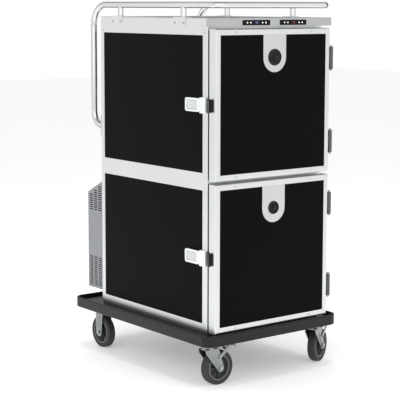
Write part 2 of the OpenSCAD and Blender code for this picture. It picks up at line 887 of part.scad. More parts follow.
// Paddle: an eye on the pivot, a rim with round corners, a sunk face and grip ribs along it
module paddle() {
    ribs = 5;
    rib_r = 2;
    rib_pitch = 7.5;
    rim = 7;
    root = 8;
    floor_t = 3;
    corner_r = 10;
    x0 = -latch_base_t / 2;
    y0 = 7;
    eye_r = 4.5;
    len = paddle_l + latch_rear_y - latch_pivot_y - y0;
    recess_l = len - 2 * rim - root;
    recess_y = y0 + len / 2 + root / 2;
    translate([0, 0, -paddle_h / 2]) cylinder(r = eye_r, h = paddle_h);
    block(-eye_r, 0, 0, y0 + rim / 2, -paddle_h / 2, paddle_h / 2);
    difference() {
        translate([x0, y0 + len / 2, 0]) rotate([0, 90, 0]) linear_extrude(paddle_t)
            round_rect(paddle_h, len, corner_r);
        translate([x0 - cut, recess_y, 0]) rotate([0, 90, 0]) linear_extrude(paddle_t - floor_t + cut)
            round_rect(paddle_h - 2 * rim, recess_l, corner_r - 4);
    }
    for (i = [0 : ribs - 1]) translate([x0 + paddle_t - floor_t, 0, (i - (ribs - 1) / 2) * rib_pitch])
        rod_y(rib_r, recess_y - recess_l / 2 + rim, recess_y + recess_l / 2 - rim);
}

module latch_paddle(door) {
    color("#d8dadb") translate([latch_pivot_x, latch_pivot_y, (door[0] + door[1]) / 2]) {
        paddle();
        translate([0, 0, -latch_base_h / 2 + 1]) cylinder(r = latch_pin_r, h = latch_base_h - 2);
    }
}

module upper_paddle() { latch_paddle(UPPER); }
module lower_paddle() { latch_paddle(LOWER); }

// ---------------------------------------------------------------- gallery rail

// A straight tube along x, y or z from a point
module tube_run(from, axis, len) {
    translate(from) rotate(axis == "x" ? [0, 90, 0] : axis == "y" ? [-90, 0, 0] : [0, 0, 0])
        cylinder(d = rail_d, h = len);
}

// One side of the rail: front corner bend, side run, handle bends, foot and two posts
module rail_side() {
    side_y0 = rail_front_y + rail_corner_r;
    side_y1 = handle_y - handle_bend_r;
    foot_y = handle_y - handle_foot_r;
    flange_w = 46;
    flange_h = 90;
    flange_t = 4;
    collar = 1.5;
    translate([rail_side_x - rail_corner_r, side_y0, rail_z]) rotate(-90)
        rotate_extrude(angle = 90) translate([rail_corner_r, 0]) circle(d = rail_d);
    tube_run([rail_side_x, side_y0, rail_z], "y", side_y1 - side_y0);
    translate([rail_side_x, side_y1, rail_z - handle_bend_r]) rotate([90, 0, 90])
        rotate_extrude(angle = 90) translate([handle_bend_r, 0]) circle(d = rail_d);
    tube_run([rail_side_x, handle_y, handle_foot_z + handle_foot_r], "z",
        rail_z - handle_bend_r - handle_foot_z - handle_foot_r);
    translate([rail_side_x, foot_y, handle_foot_z + handle_foot_r]) rotate([90, 0, 90]) rotate(-90)
        rotate_extrude(angle = 90) translate([handle_foot_r, 0]) circle(d = rail_d);
    tube_run([rail_side_x, rear_y, handle_foot_z], "y", foot_y - rear_y);
    block(side_x - flange_w, side_x, rear_y, rear_y + flange_t,
        handle_foot_z - flange_h / 2, handle_foot_z + flange_h / 2);
    for (y = POSTS_Y) translate([rail_side_x, y, cab_z1 + bracket_t]) {
        cylinder(d = post_d, h = rail_z - cab_z1 - bracket_t);
        cylinder(d1 = post_d + 2 * collar, d2 = post_d, h = collar);
    }
}

module gallery_rail() {
    run_x = rail_side_x - rail_corner_r;
    color("#e2e4e5") {
        both_sides() rail_side();
        tube_run([-run_x, rail_front_y, rail_z], "x", 2 * run_x);
    }
}

// Places the children at the middle of each rail bracket on the right-hand side
module at_brackets() {
    for (y = POSTS_Y) translate([side_x, y + bracket_y_shift, cab_z1]) children();
}

// Angle bracket: one leg on the cover under the post, one down the cabinet's side
module rail_brackets() {
    leg = rail_x + post_d / 2 + bracket_edge;
    color("#d9dbdc") both_sides() at_brackets() {
        block(-leg, bracket_t, -bracket_l / 2, bracket_l / 2, 0, bracket_t);
        block(0, bracket_t, -bracket_l / 2, bracket_l / 2, bracket_t - bracket_h, bracket_t);
    }
}

// Pan-head screws in the rail brackets and hexagon bolts in the castor plates
module fasteners() {
    head_r = 4.5;
    head_h = 2.2;
    color("#8c8f92") {
        both_sides() at_brackets() for (s = [-1, 1])
            translate([bracket_t, s * screw_spread / 2, -screw_drop]) rotate([0, 90, 0]) {
                cylinder(r = head_r, h = head_h / 2);
                translate([0, 0, head_h / 2]) cylinder(r1 = head_r, r2 = head_r / 2, h = head_h / 2);
            }
        for (p = [FRONT_LEFT, FRONT_RIGHT, REAR_LEFT, REAR_RIGHT])
            translate([p[0], p[1], plate_z - bolt_h]) at_plate_holes()
                cylinder(r = bolt_r, h = bolt_h, $fn = 6);
    }
}

// ---------------------------------------------------------------- cooling unit

// Side outline of the unit: upright back, sloping top
module unit_outline(inset) {
    polygon([
        [rear_y, unit_z0 + inset], [unit_y1 - inset, unit_z0 + inset],
        [unit_y1 - inset, unit_z1 - inset], [rear_y, unit_z1 + unit_rise - inset]
    ]);
}

// Louvre slots through both side walls: three columns, the upper group stepped along the sloping top
module side_slots() {
    columns = 3;
    column_gap = 8.5;
    column_pitch = slot_l + column_gap;
    lower_rows = 14;
    edge = 16;
    upper_band = 79;
    lower_z = unit_z0 + edge;
    upper_z = unit_z1 - upper_band;
    for (c = [0 : columns - 1]) {
        y = rear_y + edge + column_pitch * c;
        slope_z = unit_z1 + unit_rise * (unit_y1 - y) / unit_d;
        for (z = [upper_z : slot_pitch : slope_z - edge]) slot_at(y, z);
        for (i = [0 : lower_rows - 1]) slot_at(y, lower_z + i * slot_pitch);
    }
}

module slot_at(y, z) {
    translate([0, y, z]) rotate([0, 90, 0]) linear_extrude(cab_w + 2 * cut, center = true)
        round_rect(slot_h, slot_l, slot_h / 2 - 0.01);
}

module unit_cover() {
    rear_rows = 12;
    rear_pitch = 16;
    rear_margin = 187;
    color("#a9acae") difference() {
        translate([-side_x, 0, 0]) rotate([90, 0, 90]) linear_extrude(cab_w) unit_outline(0);
        translate([-side_x + unit_sheet, -cut, 0]) rotate([90, 0, 90])
            linear_extrude(cab_w - 2 * unit_sheet) unit_hollow();
        side_slots();
        translate([inlet_x, unit_y1, inlet_z])
            cube([inlet_body_w + 2 * side_gap, 4 * unit_sheet, inlet_body_h + 2 * side_gap], center = true);
        for (i = [0 : rear_rows - 1]) translate([0, unit_y1, inlet_z + i * rear_pitch])
            cube([cab_w - 2 * rear_margin, 4 * unit_sheet, slot_h], center = true);
    }
}

// The space inside the cover, open towards the cabinet
module unit_hollow() {
    slope_drop = (cut + unit_sheet) * unit_rise / unit_d;
    unit_outline(unit_sheet);
    translate([rear_y - cut, unit_z0 + unit_sheet])
        square([2 * cut, unit_rear_h + unit_rise - 2 * unit_sheet - slope_drop]);
}

// Recessed three-pin appliance inlet in the unit's rear face
module mains_inlet() {
    flange = 5;
    flange_t = 2;
    body_d = 24;
    well_d = 16;
    wall = 3;
    blade = [2, 4, 12];
    blade_x = 7;
    color("#1b1c1e") translate([inlet_x, unit_y1, inlet_z]) rotate([-90, 0, 0]) {
        difference() {
            union() {
                linear_extrude(flange_t)
                    round_rect(inlet_body_w + 2 * flange, inlet_body_h + 2 * flange, flange);
                translate([0, 0, -body_d]) linear_extrude(body_d + flange_t / 2)
                    square([inlet_body_w, inlet_body_h], center = true);
            }
            translate([0, 0, -well_d]) linear_extrude(well_d + flange_t + cut)
                round_rect(inlet_body_w - 2 * wall, inlet_body_h - 2 * wall, wall + 1);
        }
        for (i = [-1 : 1])
            translate([i * blade_x, i == 0 ? -blade[1] : blade[1] / 2, -well_d - cut]) cube(blade);
    }
}

// Hermetic compressor: a domed shell on a foot plate
module compressor() {
    shell_r = 46;
    shell_h = 90;
    dome_h = 24;
    foot_r = 8;
    foot_h = 12;
    foot_in = 2;
    base_t = 3;
    base_w = 2 * shell_r + 32;
    stub = [4, 24];
    stub_z = 60;
    shell_z = foot_h + base_t;
    dome_r = (shell_r * shell_r + dome_h * dome_h) / (2 * dome_h);
    foot_x = base_w / 2 - foot_r - foot_in;
    foot_y = shell_r - foot_r - foot_in;
    color("#202124") translate([compressor_x, fan_y, unit_floor_z]) {
        for (sx = [-1, 1], sy = [-1, 1])
            translate([sx * foot_x, sy * foot_y, 0]) cylinder(r = foot_r, h = foot_h);
        translate([-base_w / 2, -shell_r, foot_h]) cube([base_w, 2 * shell_r, base_t]);
        translate([0, 0, shell_z]) cylinder(r = shell_r, h = shell_h);
        intersection() {
            translate([0, 0, shell_z + shell_h + dome_h - dome_r]) sphere(dome_r);
            translate([0, 0, shell_z + shell_h]) cylinder(r = shell_r, h = dome_h + cut);
        }
        translate([shell_r - stub[0] / 2, 0, stub_z]) rotate([0, 90, 0]) cylinder(r = stub[0], h = stub[1]);
    }
}

// Finned condenser core with its shroud, and the fan motor on four arms
module condenser() {
    fins = 24;
    fin_pitch = core_side / fins;
    frame = 2;
    top = 4;
    shroud_d = 6;
    shroud_gap = 2;
    motor_r = 20;
    motor_l = 26;
    motor_x0 = fan_x + fan_hub_l;
    bar = 4;
    corner = core_side / 2 - bar / 2 - 1;
    arm_l = 2 * sqrt(2) * corner;
    color("#9a9da0") {
        translate([core_x, fan_y - core_side / 2, unit_floor_z]) difference() {
            cube([core_t, core_side, core_foot + core_side + top]);
            for (i = [0 : fins - 1]) translate([-cut, frame, core_foot + fin_pitch * (i + 0.25)])
                cube([core_t / 2, core_side - 2 * frame, fin_pitch / 2]);
            translate([core_t - shroud_d, core_side / 2, core_foot + core_side / 2]) rotate([0, 90, 0])
                cylinder(d = fan_d + 2 * shroud_gap, h = shroud_d + cut);
        }
        for (sy = [-1, 1], sz = [-1, 1]) translate([core_x + core_t, fan_y, fan_z])
            translate([0, sy * corner - bar / 2, sz * corner - bar / 2])
                cube([motor_x0 + 2 * bar - core_x - core_t, bar, bar]);
        translate([motor_x0, fan_y, fan_z]) {
            rotate([0, 90, 0]) cylinder(r = motor_r, h = motor_l);
            for (a = [45, 135]) rotate([a, 0, 0]) translate([bar, -arm_l / 2, -bar / 2])
                cube([bar, arm_l, bar]);
        }
        translate([fan_x - fan_hub_l / 2, fan_y, fan_z]) rotate([0, 90, 0])
            cylinder(r = fan_shaft_r, h = 2 * fan_hub_l);
    }
}

// Five pitched blades on a hub
module condenser_fan() {
    hub_r = 14;
    blades = 5;
    blade_t = 2;
    blade_w = 32;
    pitch_deg = 35;
    tip_r = fan_d / 2 - 2;
    color("#3b3e41") translate([fan_x, fan_y, fan_z]) difference() {
        union() {
            translate([-fan_hub_l / 2, 0, 0]) rotate([0, 90, 0]) cylinder(r = hub_r, h = fan_hub_l);
            for (i = [0 : blades - 1]) rotate([i * 360 / blades, 0, 0]) intersection() {
                translate([0, 0, hub_r - blade_t]) rotate([0, 0, pitch_deg])
                    translate([-blade_t / 2, -blade_w / 2, 0]) cube([blade_t, blade_w, tip_r]);
                translate([-fan_hub_l / 2, 0, 0]) rotate([0, 90, 0]) cylinder(r = tip_r, h = fan_hub_l);
            }
        }
        rotate([0, 90, 0]) cylinder(r = fan_shaft_r + run_fit, h = 3 * fan_hub_l, center = true);
    }
}

// ---------------------------------------------------------------- castors

// Places the children at the four bolts of a castor plate
module at_plate_holes() {
    for (sx = [-1, 1], sy = [-1, 1]) translate([sx * hole_x, sy * hole_y, 0]) children();
}

// Top plate of a castor
module top_plate() {
    translate([0, 0, plate_z]) linear_extrude(fork_t) round_rect(plate_l, plate_w, 10);
}

// Fixed half of a swivel castor: plate, race with a dust skirt, king pin and its nut
module swivel_plate() {
    skirt_r = race_r + race_step + seal_gap;
    skirt_t = 2;
    skirt_h = race_h + 3;
    pin_l = plate_z - crown_z0 + side_gap;
    top_plate();
    translate([0, 0, plate_z]) mirror([0, 0, 1]) {
        cylinder(r1 = race_r + 2 * race_step, r2 = race_r, h = race_h);
        difference() {
            cylinder(r = skirt_r + skirt_t, h = skirt_h);
            translate([0, 0, race_h / 2]) cylinder(r = skirt_r, h = skirt_h);
        }
        cylinder(r = pin_r, h = pin_l);
        translate([0, 0, pin_l]) cylinder(r = pin_r + 5, h = 5, $fn = 6);
    }
}

module caster_plates() {
    color("#b4b7ba") for (p = [FRONT_LEFT, FRONT_RIGHT]) translate([p[0], p[1], 0]) swivel_plate();
}

// Outline of a raked cheek in the x-z plane: wide at the crown, round at the axle
module cheek_outline() {
    intersection() {
        along_cheek() taper_link(cheek_r1, cheek_r2, cheek_reach);
        translate([-cheek_r2, 0]) square([2 * cheek_r2 + trail, crown_z0 + fork_t]);
    }
}

// Places the children, drawn along +x from the axle up to the crown, on a raked cheek
module along_cheek() {
    translate([trail, axle_z]) rotate(180 - atan2(cheek_drop, trail)) children();
}

// Swivelling fork: race cup round the king pin, crown plate, two cheeks and the pedal's pivot studs
module swivel_fork() {
    crown_h = crown_z1 - crown_z0;
    crown_x0 = -race_r + 2;
    crown_l = 2 * race_r;
    rib_y = cheek_y + fork_t + cheek_rib_h;
    difference() {
        union() {
            translate([0, 0, crown_z0 + fork_t])
                cylinder(r1 = race_r - race_step, r2 = race_r + race_step, h = crown_h - fork_t);
            translate([crown_x0, -cheek_y - fork_t, crown_z0]) cube([crown_l, fork_gap + 2 * fork_t, fork_t]);
            for (s = [0, 1]) mirror([0, s, 0]) {
                translate([0, cheek_y + fork_t, 0]) rotate([90, 0, 0]) linear_extrude(fork_t) cheek_outline();
                translate([0, rib_y, 0]) rotate([90, 0, 0]) linear_extrude(cheek_rib_h) along_cheek()
                    for (side = [4, 12]) translate([cheek_reach / 2, side])
                        round_rect(cheek_reach / 2, cheek_rib_w, cheek_rib_w / 2 - 0.01);
                translate([pedal_pivot[0], 0, pedal_pivot[1]])
                    rod_y(pedal_pin_r, cheek_y + fork_t / 2, cheek_y + fork_t + arm_t + 2 * arm_gap);
            }
        }
        translate([0, 0, crown_z0 - cut]) cylinder(r = pin_r + run_fit, h = crown_h + 2 * cut);
        translate([trail, 0, axle_z]) rod_y(axle_r + run_fit, -fork_gap, fork_gap);
    }
}

// Axle bolt along y with a hexagon head and a nut
module axle_bolt() {
    side = cheek_y + fork_t;
    rod_y(axle_r, -side - 4, side + bolt_head_h + 3);
    hex_y(bolt_head_r, -side - bolt_head_h, -side);
    hex_y(bolt_head_r, side, side + bolt_head_h);
}

// Height of the brake shoe's lower inner edge over the pedal's pivot, such that the shoe ends
// seal_gap off the tyre once the pedal has turned through its travel
function shoe_drop() =
    let (
        s = sin(pedal_travel), c = cos(pedal_travel),
        px = pedal_pivot[0] - trail, pz = pedal_pivot[1] - axle_z,
        b = px * s + pz * c,
        k = px * px + pz * pz + shoe_x * shoe_x + 2 * shoe_x * (px * c - pz * s)
    )
    -b + sqrt(b * b - k + pow(wheel_d / 2 + seal_gap, 2));

// Brake pedal: two arms outside the cheeks, a ribbed tread between them and a shoe over the tyre
module brake_pedal() {
    arm_y = cheek_y + fork_t + arm_gap;
    rise = tread_z - pedal_pivot[1];
    reach = tread_x0 + arm_r1 - pedal_pivot[0];
    half_w = arm_y + arm_t;
    tread_half_w = arm_y + 1;
    rib_w = 3;
    rib_x0 = 11;
    lip_h = 8;
    shoe_x0 = pedal_pivot[0] + shoe_x;
    difference() {
        union() {
            for (s = [0, 1]) mirror([0, s, 0])
                translate([pedal_pivot[0], half_w, pedal_pivot[1]]) rotate([90, 0, 0]) linear_extrude(arm_t)
                    rotate(atan2(rise, reach)) taper_link(arm_r1, arm_r2, norm([rise, reach]));
            translate([tread_x0, tread_half_w, tread_z]) rotate([90, 0, 0])
                linear_extrude(2 * tread_half_w) {
                    translate([0, -tread_t / 2]) square([tread_l, tread_t]);
                    translate([tread_l - rib_w, -lip_h]) square([rib_w, lip_h]);
                    for (x = [rib_x0 : lip_h : tread_l - rib_w]) translate([x, 0]) square([rib_w, tread_t]);
                }
            block(shoe_x0, shoe_x0 + shoe_l, -shoe_w / 2, shoe_w / 2, pedal_pivot[1] + shoe_drop(), tread_z);
        }
        translate([pedal_pivot[0], 0, pedal_pivot[1]])
            rod_y(pedal_pin_r + run_fit, -half_w - cut, half_w + cut);
    }
}

// Half section of a wheel centre, from the bore outwards: barrel, dished web, rim with a chamfered lip
module hub_section() {
    r = rim_d / 2;
    bore = axle_r + run_fit;
    rim_t = 7;
    lip = 1.5;
    web = 4;
    dish = 2;
    end = cheek_y - side_gap;
    half = tyre_w / 2 - 1;
    polygon([
        [bore, 0], [bore, end], [barrel_r - dish, end], [barrel_r, end - dish],
        [barrel_r + lip, web + dish], [barrel_r + lip + dish, web], [r - rim_t, web],
        [r - rim_t, half - lip], [r - rim_t + lip, half], [r, half], [r, 0]
    ]);
}

// Wheel centre, the same on both faces, with ribs across the web
module hub() {
    ribs = 8;
    rib_t = 4;
    rib_end = 9;
    half = tyre_w / 2 - 7;
    rotate([90, 0, 0]) rotate_extrude() for (s = [0, 1]) mirror([0, s]) hub_section();
    for (i = [0 : ribs - 1]) rotate([0, i * 360 / ribs, 0])
        block(barrel_r - 1, rim_d / 2 - rib_end + 3, -half, half, -rib_t / 2, rib_t / 2);
}

// Rubber tyre with rounded shoulders, a raised ring on each side wall and two tread grooves
module tyre() {
    r0 = rim_d / 2;
    r1 = wheel_d / 2;
    shoulder = 7;
    ring = [3, 0.8];
    groove = [1.2, 1.2];
    side = tyre_w / 2 - ring[1];
    rotate([90, 0, 0]) rotate_extrude() difference() {
        union() {
            translate([r0, -side]) square([r1 - r0 - shoulder, 2 * side]);
            translate([r0, -side + shoulder]) square([r1 - r0, 2 * (side - shoulder)]);
            for (s = [-1, 1]) translate([r1 - shoulder, s * (side - shoulder)]) circle(shoulder);
            translate([r0 + ring[0], -tyre_w / 2]) square([ring[0], tyre_w]);
        }
        for (s = [-1, 1]) translate([r1 - groove[0], s * side / 3 - groove[1] / 2])
            square([groove[0] + cut, groove[1]]);
    }
}

// Places the children, drawn with the swivel axis at the origin and trailing to +x
module at_front_left() {
    translate([FRONT_LEFT[0], FRONT_LEFT[1], 0]) children();
}

module at_front_right() {
    translate([FRONT_RIGHT[0], FRONT_RIGHT[1], 0]) rotate(right_heading) children();
}

// Places the children, drawn with the axle along y, on a swivel castor's axle
module on_axle() {
    translate([trail, 0, axle_z]) children();
}

// Places the children, drawn with the axle along y, at a rear wheel with its axle along x
module at_rear(place) {
    translate([place[0], place[1], axle_z]) rotate(90) children();
}

module left_fork() { color("#b4b7ba") at_front_left() swivel_fork(); }
module right_fork() { color("#b4b7ba") at_front_right() swivel_fork(); }
module left_axle() { color("#8c8f92") at_front_left() on_axle() axle_bolt(); }
module right_axle() { color("#8c8f92") at_front_right() on_axle() axle_bolt(); }
module left_pedal() { color("#d5d8da") at_front_left() brake_pedal(); }
module right_pedal() { color("#d5d8da") at_front_right() brake_pedal(); }
module front_left_hub() { color("#6e7174") at_front_left() on_axle() hub(); }
module front_right_hub() { color("#6e7174") at_front_right() on_axle() hub(); }
module front_left_tyre() { color("#3b3d40") at_front_left() on_axle() tyre(); }
module front_right_tyre() { color("#3b3d40") at_front_right() on_axle() tyre(); }
module rear_left_hub() { color("#6e7174") at_rear(REAR_LEFT) hub(); }
module rear_right_hub() { color("#6e7174") at_rear(REAR_RIGHT) hub(); }
module rear_left_tyre() { color("#3b3d40") at_rear(REAR_LEFT) tyre(); }
module rear_right_tyre() { color("#3b3d40") at_rear(REAR_RIGHT) tyre(); }

// Fixed fork: a top plate and two upright cheeks
module fixed_fork() {
    drop = plate_z - axle_z;
    foot_r = 22;
    top_half = 29;
    rib_x = 11;
    rib_z = 18;
    rib_l = drop - rib_z - 4;
    difference() {
        union() {
            rotate(90) translate([0, 0, -axle_z]) top_plate();
            for (s = [0, 1]) mirror([0, s, 0]) {
                translate([0, cheek_y + fork_t, 0]) rotate([90, 0, 0]) linear_extrude(fork_t) {
                    circle(foot_r);
                    polygon([[-foot_r, 0], [foot_r, 0], [top_half, drop + 1], [-top_half, drop + 1]]);
                }
                translate([0, cheek_y + fork_t + cheek_rib_h, 0]) rotate([90, 0, 0])
                    linear_extrude(cheek_rib_h) for (i = [-1 : 1])
                        translate([i * rib_x, rib_z + rib_l / 2])
                            round_rect(cheek_rib_w, rib_l, cheek_rib_w / 2 - 0.01);
            }
        }
        rod_y(axle_r + run_fit, -fork_gap, fork_gap);
    }
}

module rear_forks() {
    color("#b4b7ba") for (p = [REAR_LEFT, REAR_RIGHT]) at_rear(p) fixed_fork();
}

module rear_axles() {
    color("#8c8f92") for (p = [REAR_LEFT, REAR_RIGHT]) at_rear(p) axle_bolt();
}

// ---------------------------------------------------------------- door nodes

module upper_door_frame() { door_frame(UPPER); }
module upper_door_panel() { door_panel(UPPER); }
module upper_gasket() { gasket(UPPER); }
module upper_vent_plate() { vent_plate(UPPER); }
module upper_vent_knob() { vent_knob(UPPER); }
module upper_door_fittings() { door_fittings(UPPER); }
module lower_door_frame() { door_frame(LOWER); }
module lower_door_panel() { door_panel(LOWER); }
module lower_gasket() { gasket(LOWER); }
module lower_vent_plate() { vent_plate(LOWER); }
module lower_vent_knob() { vent_knob(LOWER); }
module lower_door_fittings() { door_fittings(LOWER); }

// ---------------------------------------------------------------- drawing

bumper_tray();
chassis_frame();
corner_posts();
side_rails();
cross_rails();
plinth();
base_strip();
side_panels();
rear_panels();
deck_panels();
top_cover();
liners();
tray_runners();
air_ducts();
control_fascia();
cold_controller();
hot_controller();
cabinet_hinge_leaves();
hinge_pins();
latch_bases();
latch_catches();
gallery_rail();
rail_brackets();
fasteners();
unit_cover();
compressor();
condenser();
mains_inlet();
caster_plates();
rear_forks();
rear_axles();
condenser_fan();
left_fork();
right_fork();
left_axle();
right_axle();
left_pedal();
right_pedal();
front_left_hub();
front_left_tyre();
front_right_hub();
front_right_tyre();
rear_left_hub();
rear_left_tyre();
rear_right_hub();
rear_right_tyre();
upper_paddle();
lower_paddle();
upper_door_frame();
upper_door_panel();
upper_gasket();
upper_vent_plate();
upper_vent_knob();
upper_door_fittings();
lower_door_frame();
lower_door_panel();
lower_gasket();
lower_vent_plate();
lower_vent_knob();
lower_door_fittings();
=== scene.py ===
"""Studio picture of a two-door meal trolley: its finishes, its small fittings, the light and the camera."""

import json
import logging
import math
from dataclasses import dataclass, replace
from enum import Enum
from typing import Any, Callable, ClassVar, Iterable, Sequence

import bmesh
import bpy
from mathutils import Matrix, Vector


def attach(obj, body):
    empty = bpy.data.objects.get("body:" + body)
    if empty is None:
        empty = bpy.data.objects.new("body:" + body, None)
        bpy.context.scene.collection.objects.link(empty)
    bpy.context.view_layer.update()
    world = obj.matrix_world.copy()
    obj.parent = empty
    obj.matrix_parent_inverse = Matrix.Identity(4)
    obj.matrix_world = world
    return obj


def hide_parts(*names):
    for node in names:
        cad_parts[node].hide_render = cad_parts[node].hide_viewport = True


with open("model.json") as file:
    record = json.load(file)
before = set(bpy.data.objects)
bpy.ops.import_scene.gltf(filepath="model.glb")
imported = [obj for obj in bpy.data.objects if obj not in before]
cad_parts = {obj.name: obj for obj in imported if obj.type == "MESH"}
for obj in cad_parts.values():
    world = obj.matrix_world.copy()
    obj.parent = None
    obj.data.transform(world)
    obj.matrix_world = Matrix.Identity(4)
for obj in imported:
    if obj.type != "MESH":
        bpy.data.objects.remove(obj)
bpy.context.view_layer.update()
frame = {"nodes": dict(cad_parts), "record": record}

Thing = bpy.types.Object
Tree = bpy.types.NodeTree
Socket = bpy.types.NodeSocket
FaceTest = Callable[[Vector, Vector], bool]
Outline = Sequence[tuple[float, float]]

LOG = logging.getLogger("trolley")
MM = 0.001
# Share of the large patches in a finish's variation; the rest follows its fine grain
PATCH_SHARE = 0.65
# Cosine over which a face counts as looking one way
FACING = 0.9
BOTH_SIDES = (-1, 1)
# Planes of the trolley, in millimetres: the cabinet's sides, the doors' front and the unit's back
CABINET_X = 317.0
DOOR_FACE_Y = -494.0
UNIT_Y = 465.0


# ---- helpers


def linear(code: str) -> tuple[float, float, float, float]:
    """Turns an sRGB hex colour into a linear one.

    Args:
        code: The colour as "#rrggbb".

    Returns:
        Linear red, green and blue, and an alpha of 1.
    """
    channels = [int(code[i : i + 2], 16) / 255 for i in (1, 3, 5)]
    r, g, b = (c / 12.92 if c <= 0.04045 else ((c + 0.055) / 1.055) ** 2.4 for c in channels)
    return r, g, b, 1.0


def add_node(
    tree: Tree,
    kind: str,
    settings: dict[str | int, Any] | None = None,
    links: dict[str | int, Socket] | None = None,
) -> bpy.types.Node:
    """Adds one shader node with its settings and links.

    Args:
        tree: The node tree that takes the node.
        kind: The node's type name, without "ShaderNode".
        settings: Values by the name of a property or the name or number of an input.
        links: Output sockets by the name or number of the input that each feeds.

    Returns:
        The new node.
    """
    node = tree.nodes.new("ShaderNode" + kind)
    for name, value in (settings or {}).items():
        if isinstance(name, str) and name in node.bl_rna.properties:
            setattr(node, name, value)
        else:
            node.inputs[name].default_value = value
    for name, source in (links or {}).items():
        tree.links.new(source, node.inputs[name])
    return node


def add_noise(tree: Tree, place: Socket, scale: float, detail: float, roughness: float) -> Socket:
    """Adds a noise from 0 to 1 at a scale in 1 / m."""
    settings = {"Scale": scale, "Detail": detail, "Roughness": roughness}
    return add_node(tree, "TexNoise", settings, {"Vector": place}).outputs["Fac"]


# ---- finishes


class Along(Enum):
    """The direction in which a profile was drawn or a sheet was brushed."""

    X = (1.0, 0.0, 0.0)
    Y = (0.0, 1.0, 0.0)
    Z = (0.0, 0.0, 1.0)

    def stretch(self, fine_mm: float, long_mm: float) -> tuple[float, ...]:
        """Scale of a streak pattern in 1 / m, from the distance and the length of its streaks."""
        return tuple(1000 / (long_mm if on else fine_mm) for on in self.value)


@dataclass(frozen=True)
class Finish:
    """A surface finish: a base material with fine variation in colour, gloss and relief."""

    name: str
    colour: str
    shade: str
    metallic: float
    roughness: float
    spread: float = 0.08
    patch_mm: float = 60.0
    grain_mm: float = 1.0
    relief_mm: float = 0.02
    coat: float = 0.0
    specular: float = 0.5
    glow: float = 0.0
    # Specular tint at grazing angles; a dark one paints a dark reflection along a metal's outlines
    edge: str = "#ffffff"

    def grain(self, tree: Tree, place: Socket) -> Socket:
        """Fine relief of the finish, as a height from 0 to 1."""
        return add_noise(tree, place, 1000 / self.grain_mm, 2.0, 0.6)

    def material(self) -> bpy.types.Material:
        """Builds the finish, or returns it if it is already there.

        Returns:
            The material.
        """
        made = bpy.data.materials.get(self.name)
        if made:
            return made
        made = bpy.data.materials.new(self.name)
        made.use_nodes = True
        tree = made.node_tree
        tree.nodes.clear()
        place = add_node(tree, "TexCoord").outputs["Object"]
        patches = add_noise(tree, place, 1000 / self.patch_mm, 3.0, 0.55)
        grain = self.grain(tree, place)
        share = {"operation": "MULTIPLY", 1: 1.0 - PATCH_SHARE}
        fine = add_node(tree, "Math", share, {0: grain}).outputs[0]
        mix = {"operation": "MULTIPLY_ADD", 1: PATCH_SHARE}
        weight = add_node(tree, "Math", mix, {0: patches, 2: fine}).outputs[0]
        blend = {"data_type": "RGBA", 6: linear(self.colour), 7: linear(self.shade)}
        tint = add_node(tree, "Mix", blend, {0: weight}).outputs[2]
        span = {3: max(self.roughness - self.spread, 0.02), 4: self.roughness + self.spread}
        gloss = add_node(tree, "MapRange", span, {0: weight}).outputs[0]
        relief = add_node(tree, "Bump", {"Distance": self.relief_mm * MM}, {"Height": grain}).outputs[0]
        settings = {
            "Metallic": self.metallic,
            "Coat Weight": self.coat,
            "Coat Roughness": 0.08,
            "Specular IOR Level": self.specular,
            "Specular Tint": linear(self.edge),
            "Emission Color": linear(self.colour),
            "Emission Strength": self.glow,
        }
        links = {"Base Color": tint, "Roughness": gloss, "Normal": relief}
        shader = add_node(tree, "BsdfPrincipled", settings, links)
        add_node(tree, "OutputMaterial", None, {"Surface": shader.outputs[0]})
        return made


@dataclass(frozen=True)
class DrawnMetal(Finish):
    """Metal with straight lines along one direction, from a die or a belt."""

    along: Along = Along.Z
    line_mm: float = 1.2
    run_mm: float = 400.0

    def grain(self, tree: Tree, place: Socket) -> Socket:
        """Fine parallel lines, as a height from 0 to 1."""
        scale = {"Scale": self.along.stretch(self.line_mm, self.run_mm)}
        stretched = add_node(tree, "Mapping", scale, {"Vector": place}).outputs[0]
        return add_noise(tree, stretched, 1.0, 3.0, 0.7)


# Clear anodised aluminium profiles: satin and even, with faint die lines along their length
ANODISED_UPRIGHT = DrawnMetal(
    "anodised_aluminium_upright", "#e4e5e6", "#d9dbdc", 1.0, 0.34, 0.05, 220.0, relief_mm=0.006, line_mm=1.6
)
ANODISED_LENGTHWISE = replace(ANODISED_UPRIGHT, name="anodised_aluminium_lengthwise", along=Along.Y)
ANODISED_CROSSWISE = replace(ANODISED_UPRIGHT, name="anodised_aluminium_crosswise", along=Along.X)
# Anodised strip, duller than the frame and painted grey: painted shade at the mouth of the gap under the
# cabinet
STRIP_GAP_SHADE = DrawnMetal(
    "grey_strip_painted_gap_shade", "#a9abad", "#8f9294", 1.0, 0.42, 0.05, 120.0, relief_mm=0.006, along=Along.Y
)
# Stainless sheet, brushed level
BRUSHED_SHEET = DrawnMetal(
    "brushed_stainless_sheet", "#dcdddd", "#c6c8ca", 1.0, 0.32, 0.06, 150.0,
    relief_mm=0.008, along=Along.X, line_mm=0.9, run_mm=90.0,
)
# The same sheet on the fascia, duller
FASCIA_SHEET = replace(
    BRUSHED_SHEET, name="brushed_fascia_sheet", colour="#c3c5c7", shade="#b2b4b6", roughness=0.36
)
# Pressed liner sheet with a fine 2B mill surface
LINER_SHEET = DrawnMetal(
    "stainless_liner_sheet", "#e2e4e5", "#d0d2d4", 0.8, 0.34, 0.06, 90.0,
    relief_mm=0.006, along=Along.Z, line_mm=1.1, run_mm=120.0,
)
# Polished stainless tube: bright, with a faint haze of polishing; its near-black edge tint darkens it at
# grazing angles, a painted reflection that draws dark outlines
POLISHED_TUBE = Finish(
    "polished_stainless_tube", "#e6e8e9", "#dcdee0", 1.0, 0.09, 0.03, 40.0, 0.8, 0.002, edge="#141516"
)
# Bright plated zinc casting: mirror gloss over a slightly uneven cast surface
PLATED_CASTING = Finish("bright_plated_casting", "#f6f7f8", "#ebedee", 0.55, 0.22, 0.04, 24.0, 3.0, 0.01)
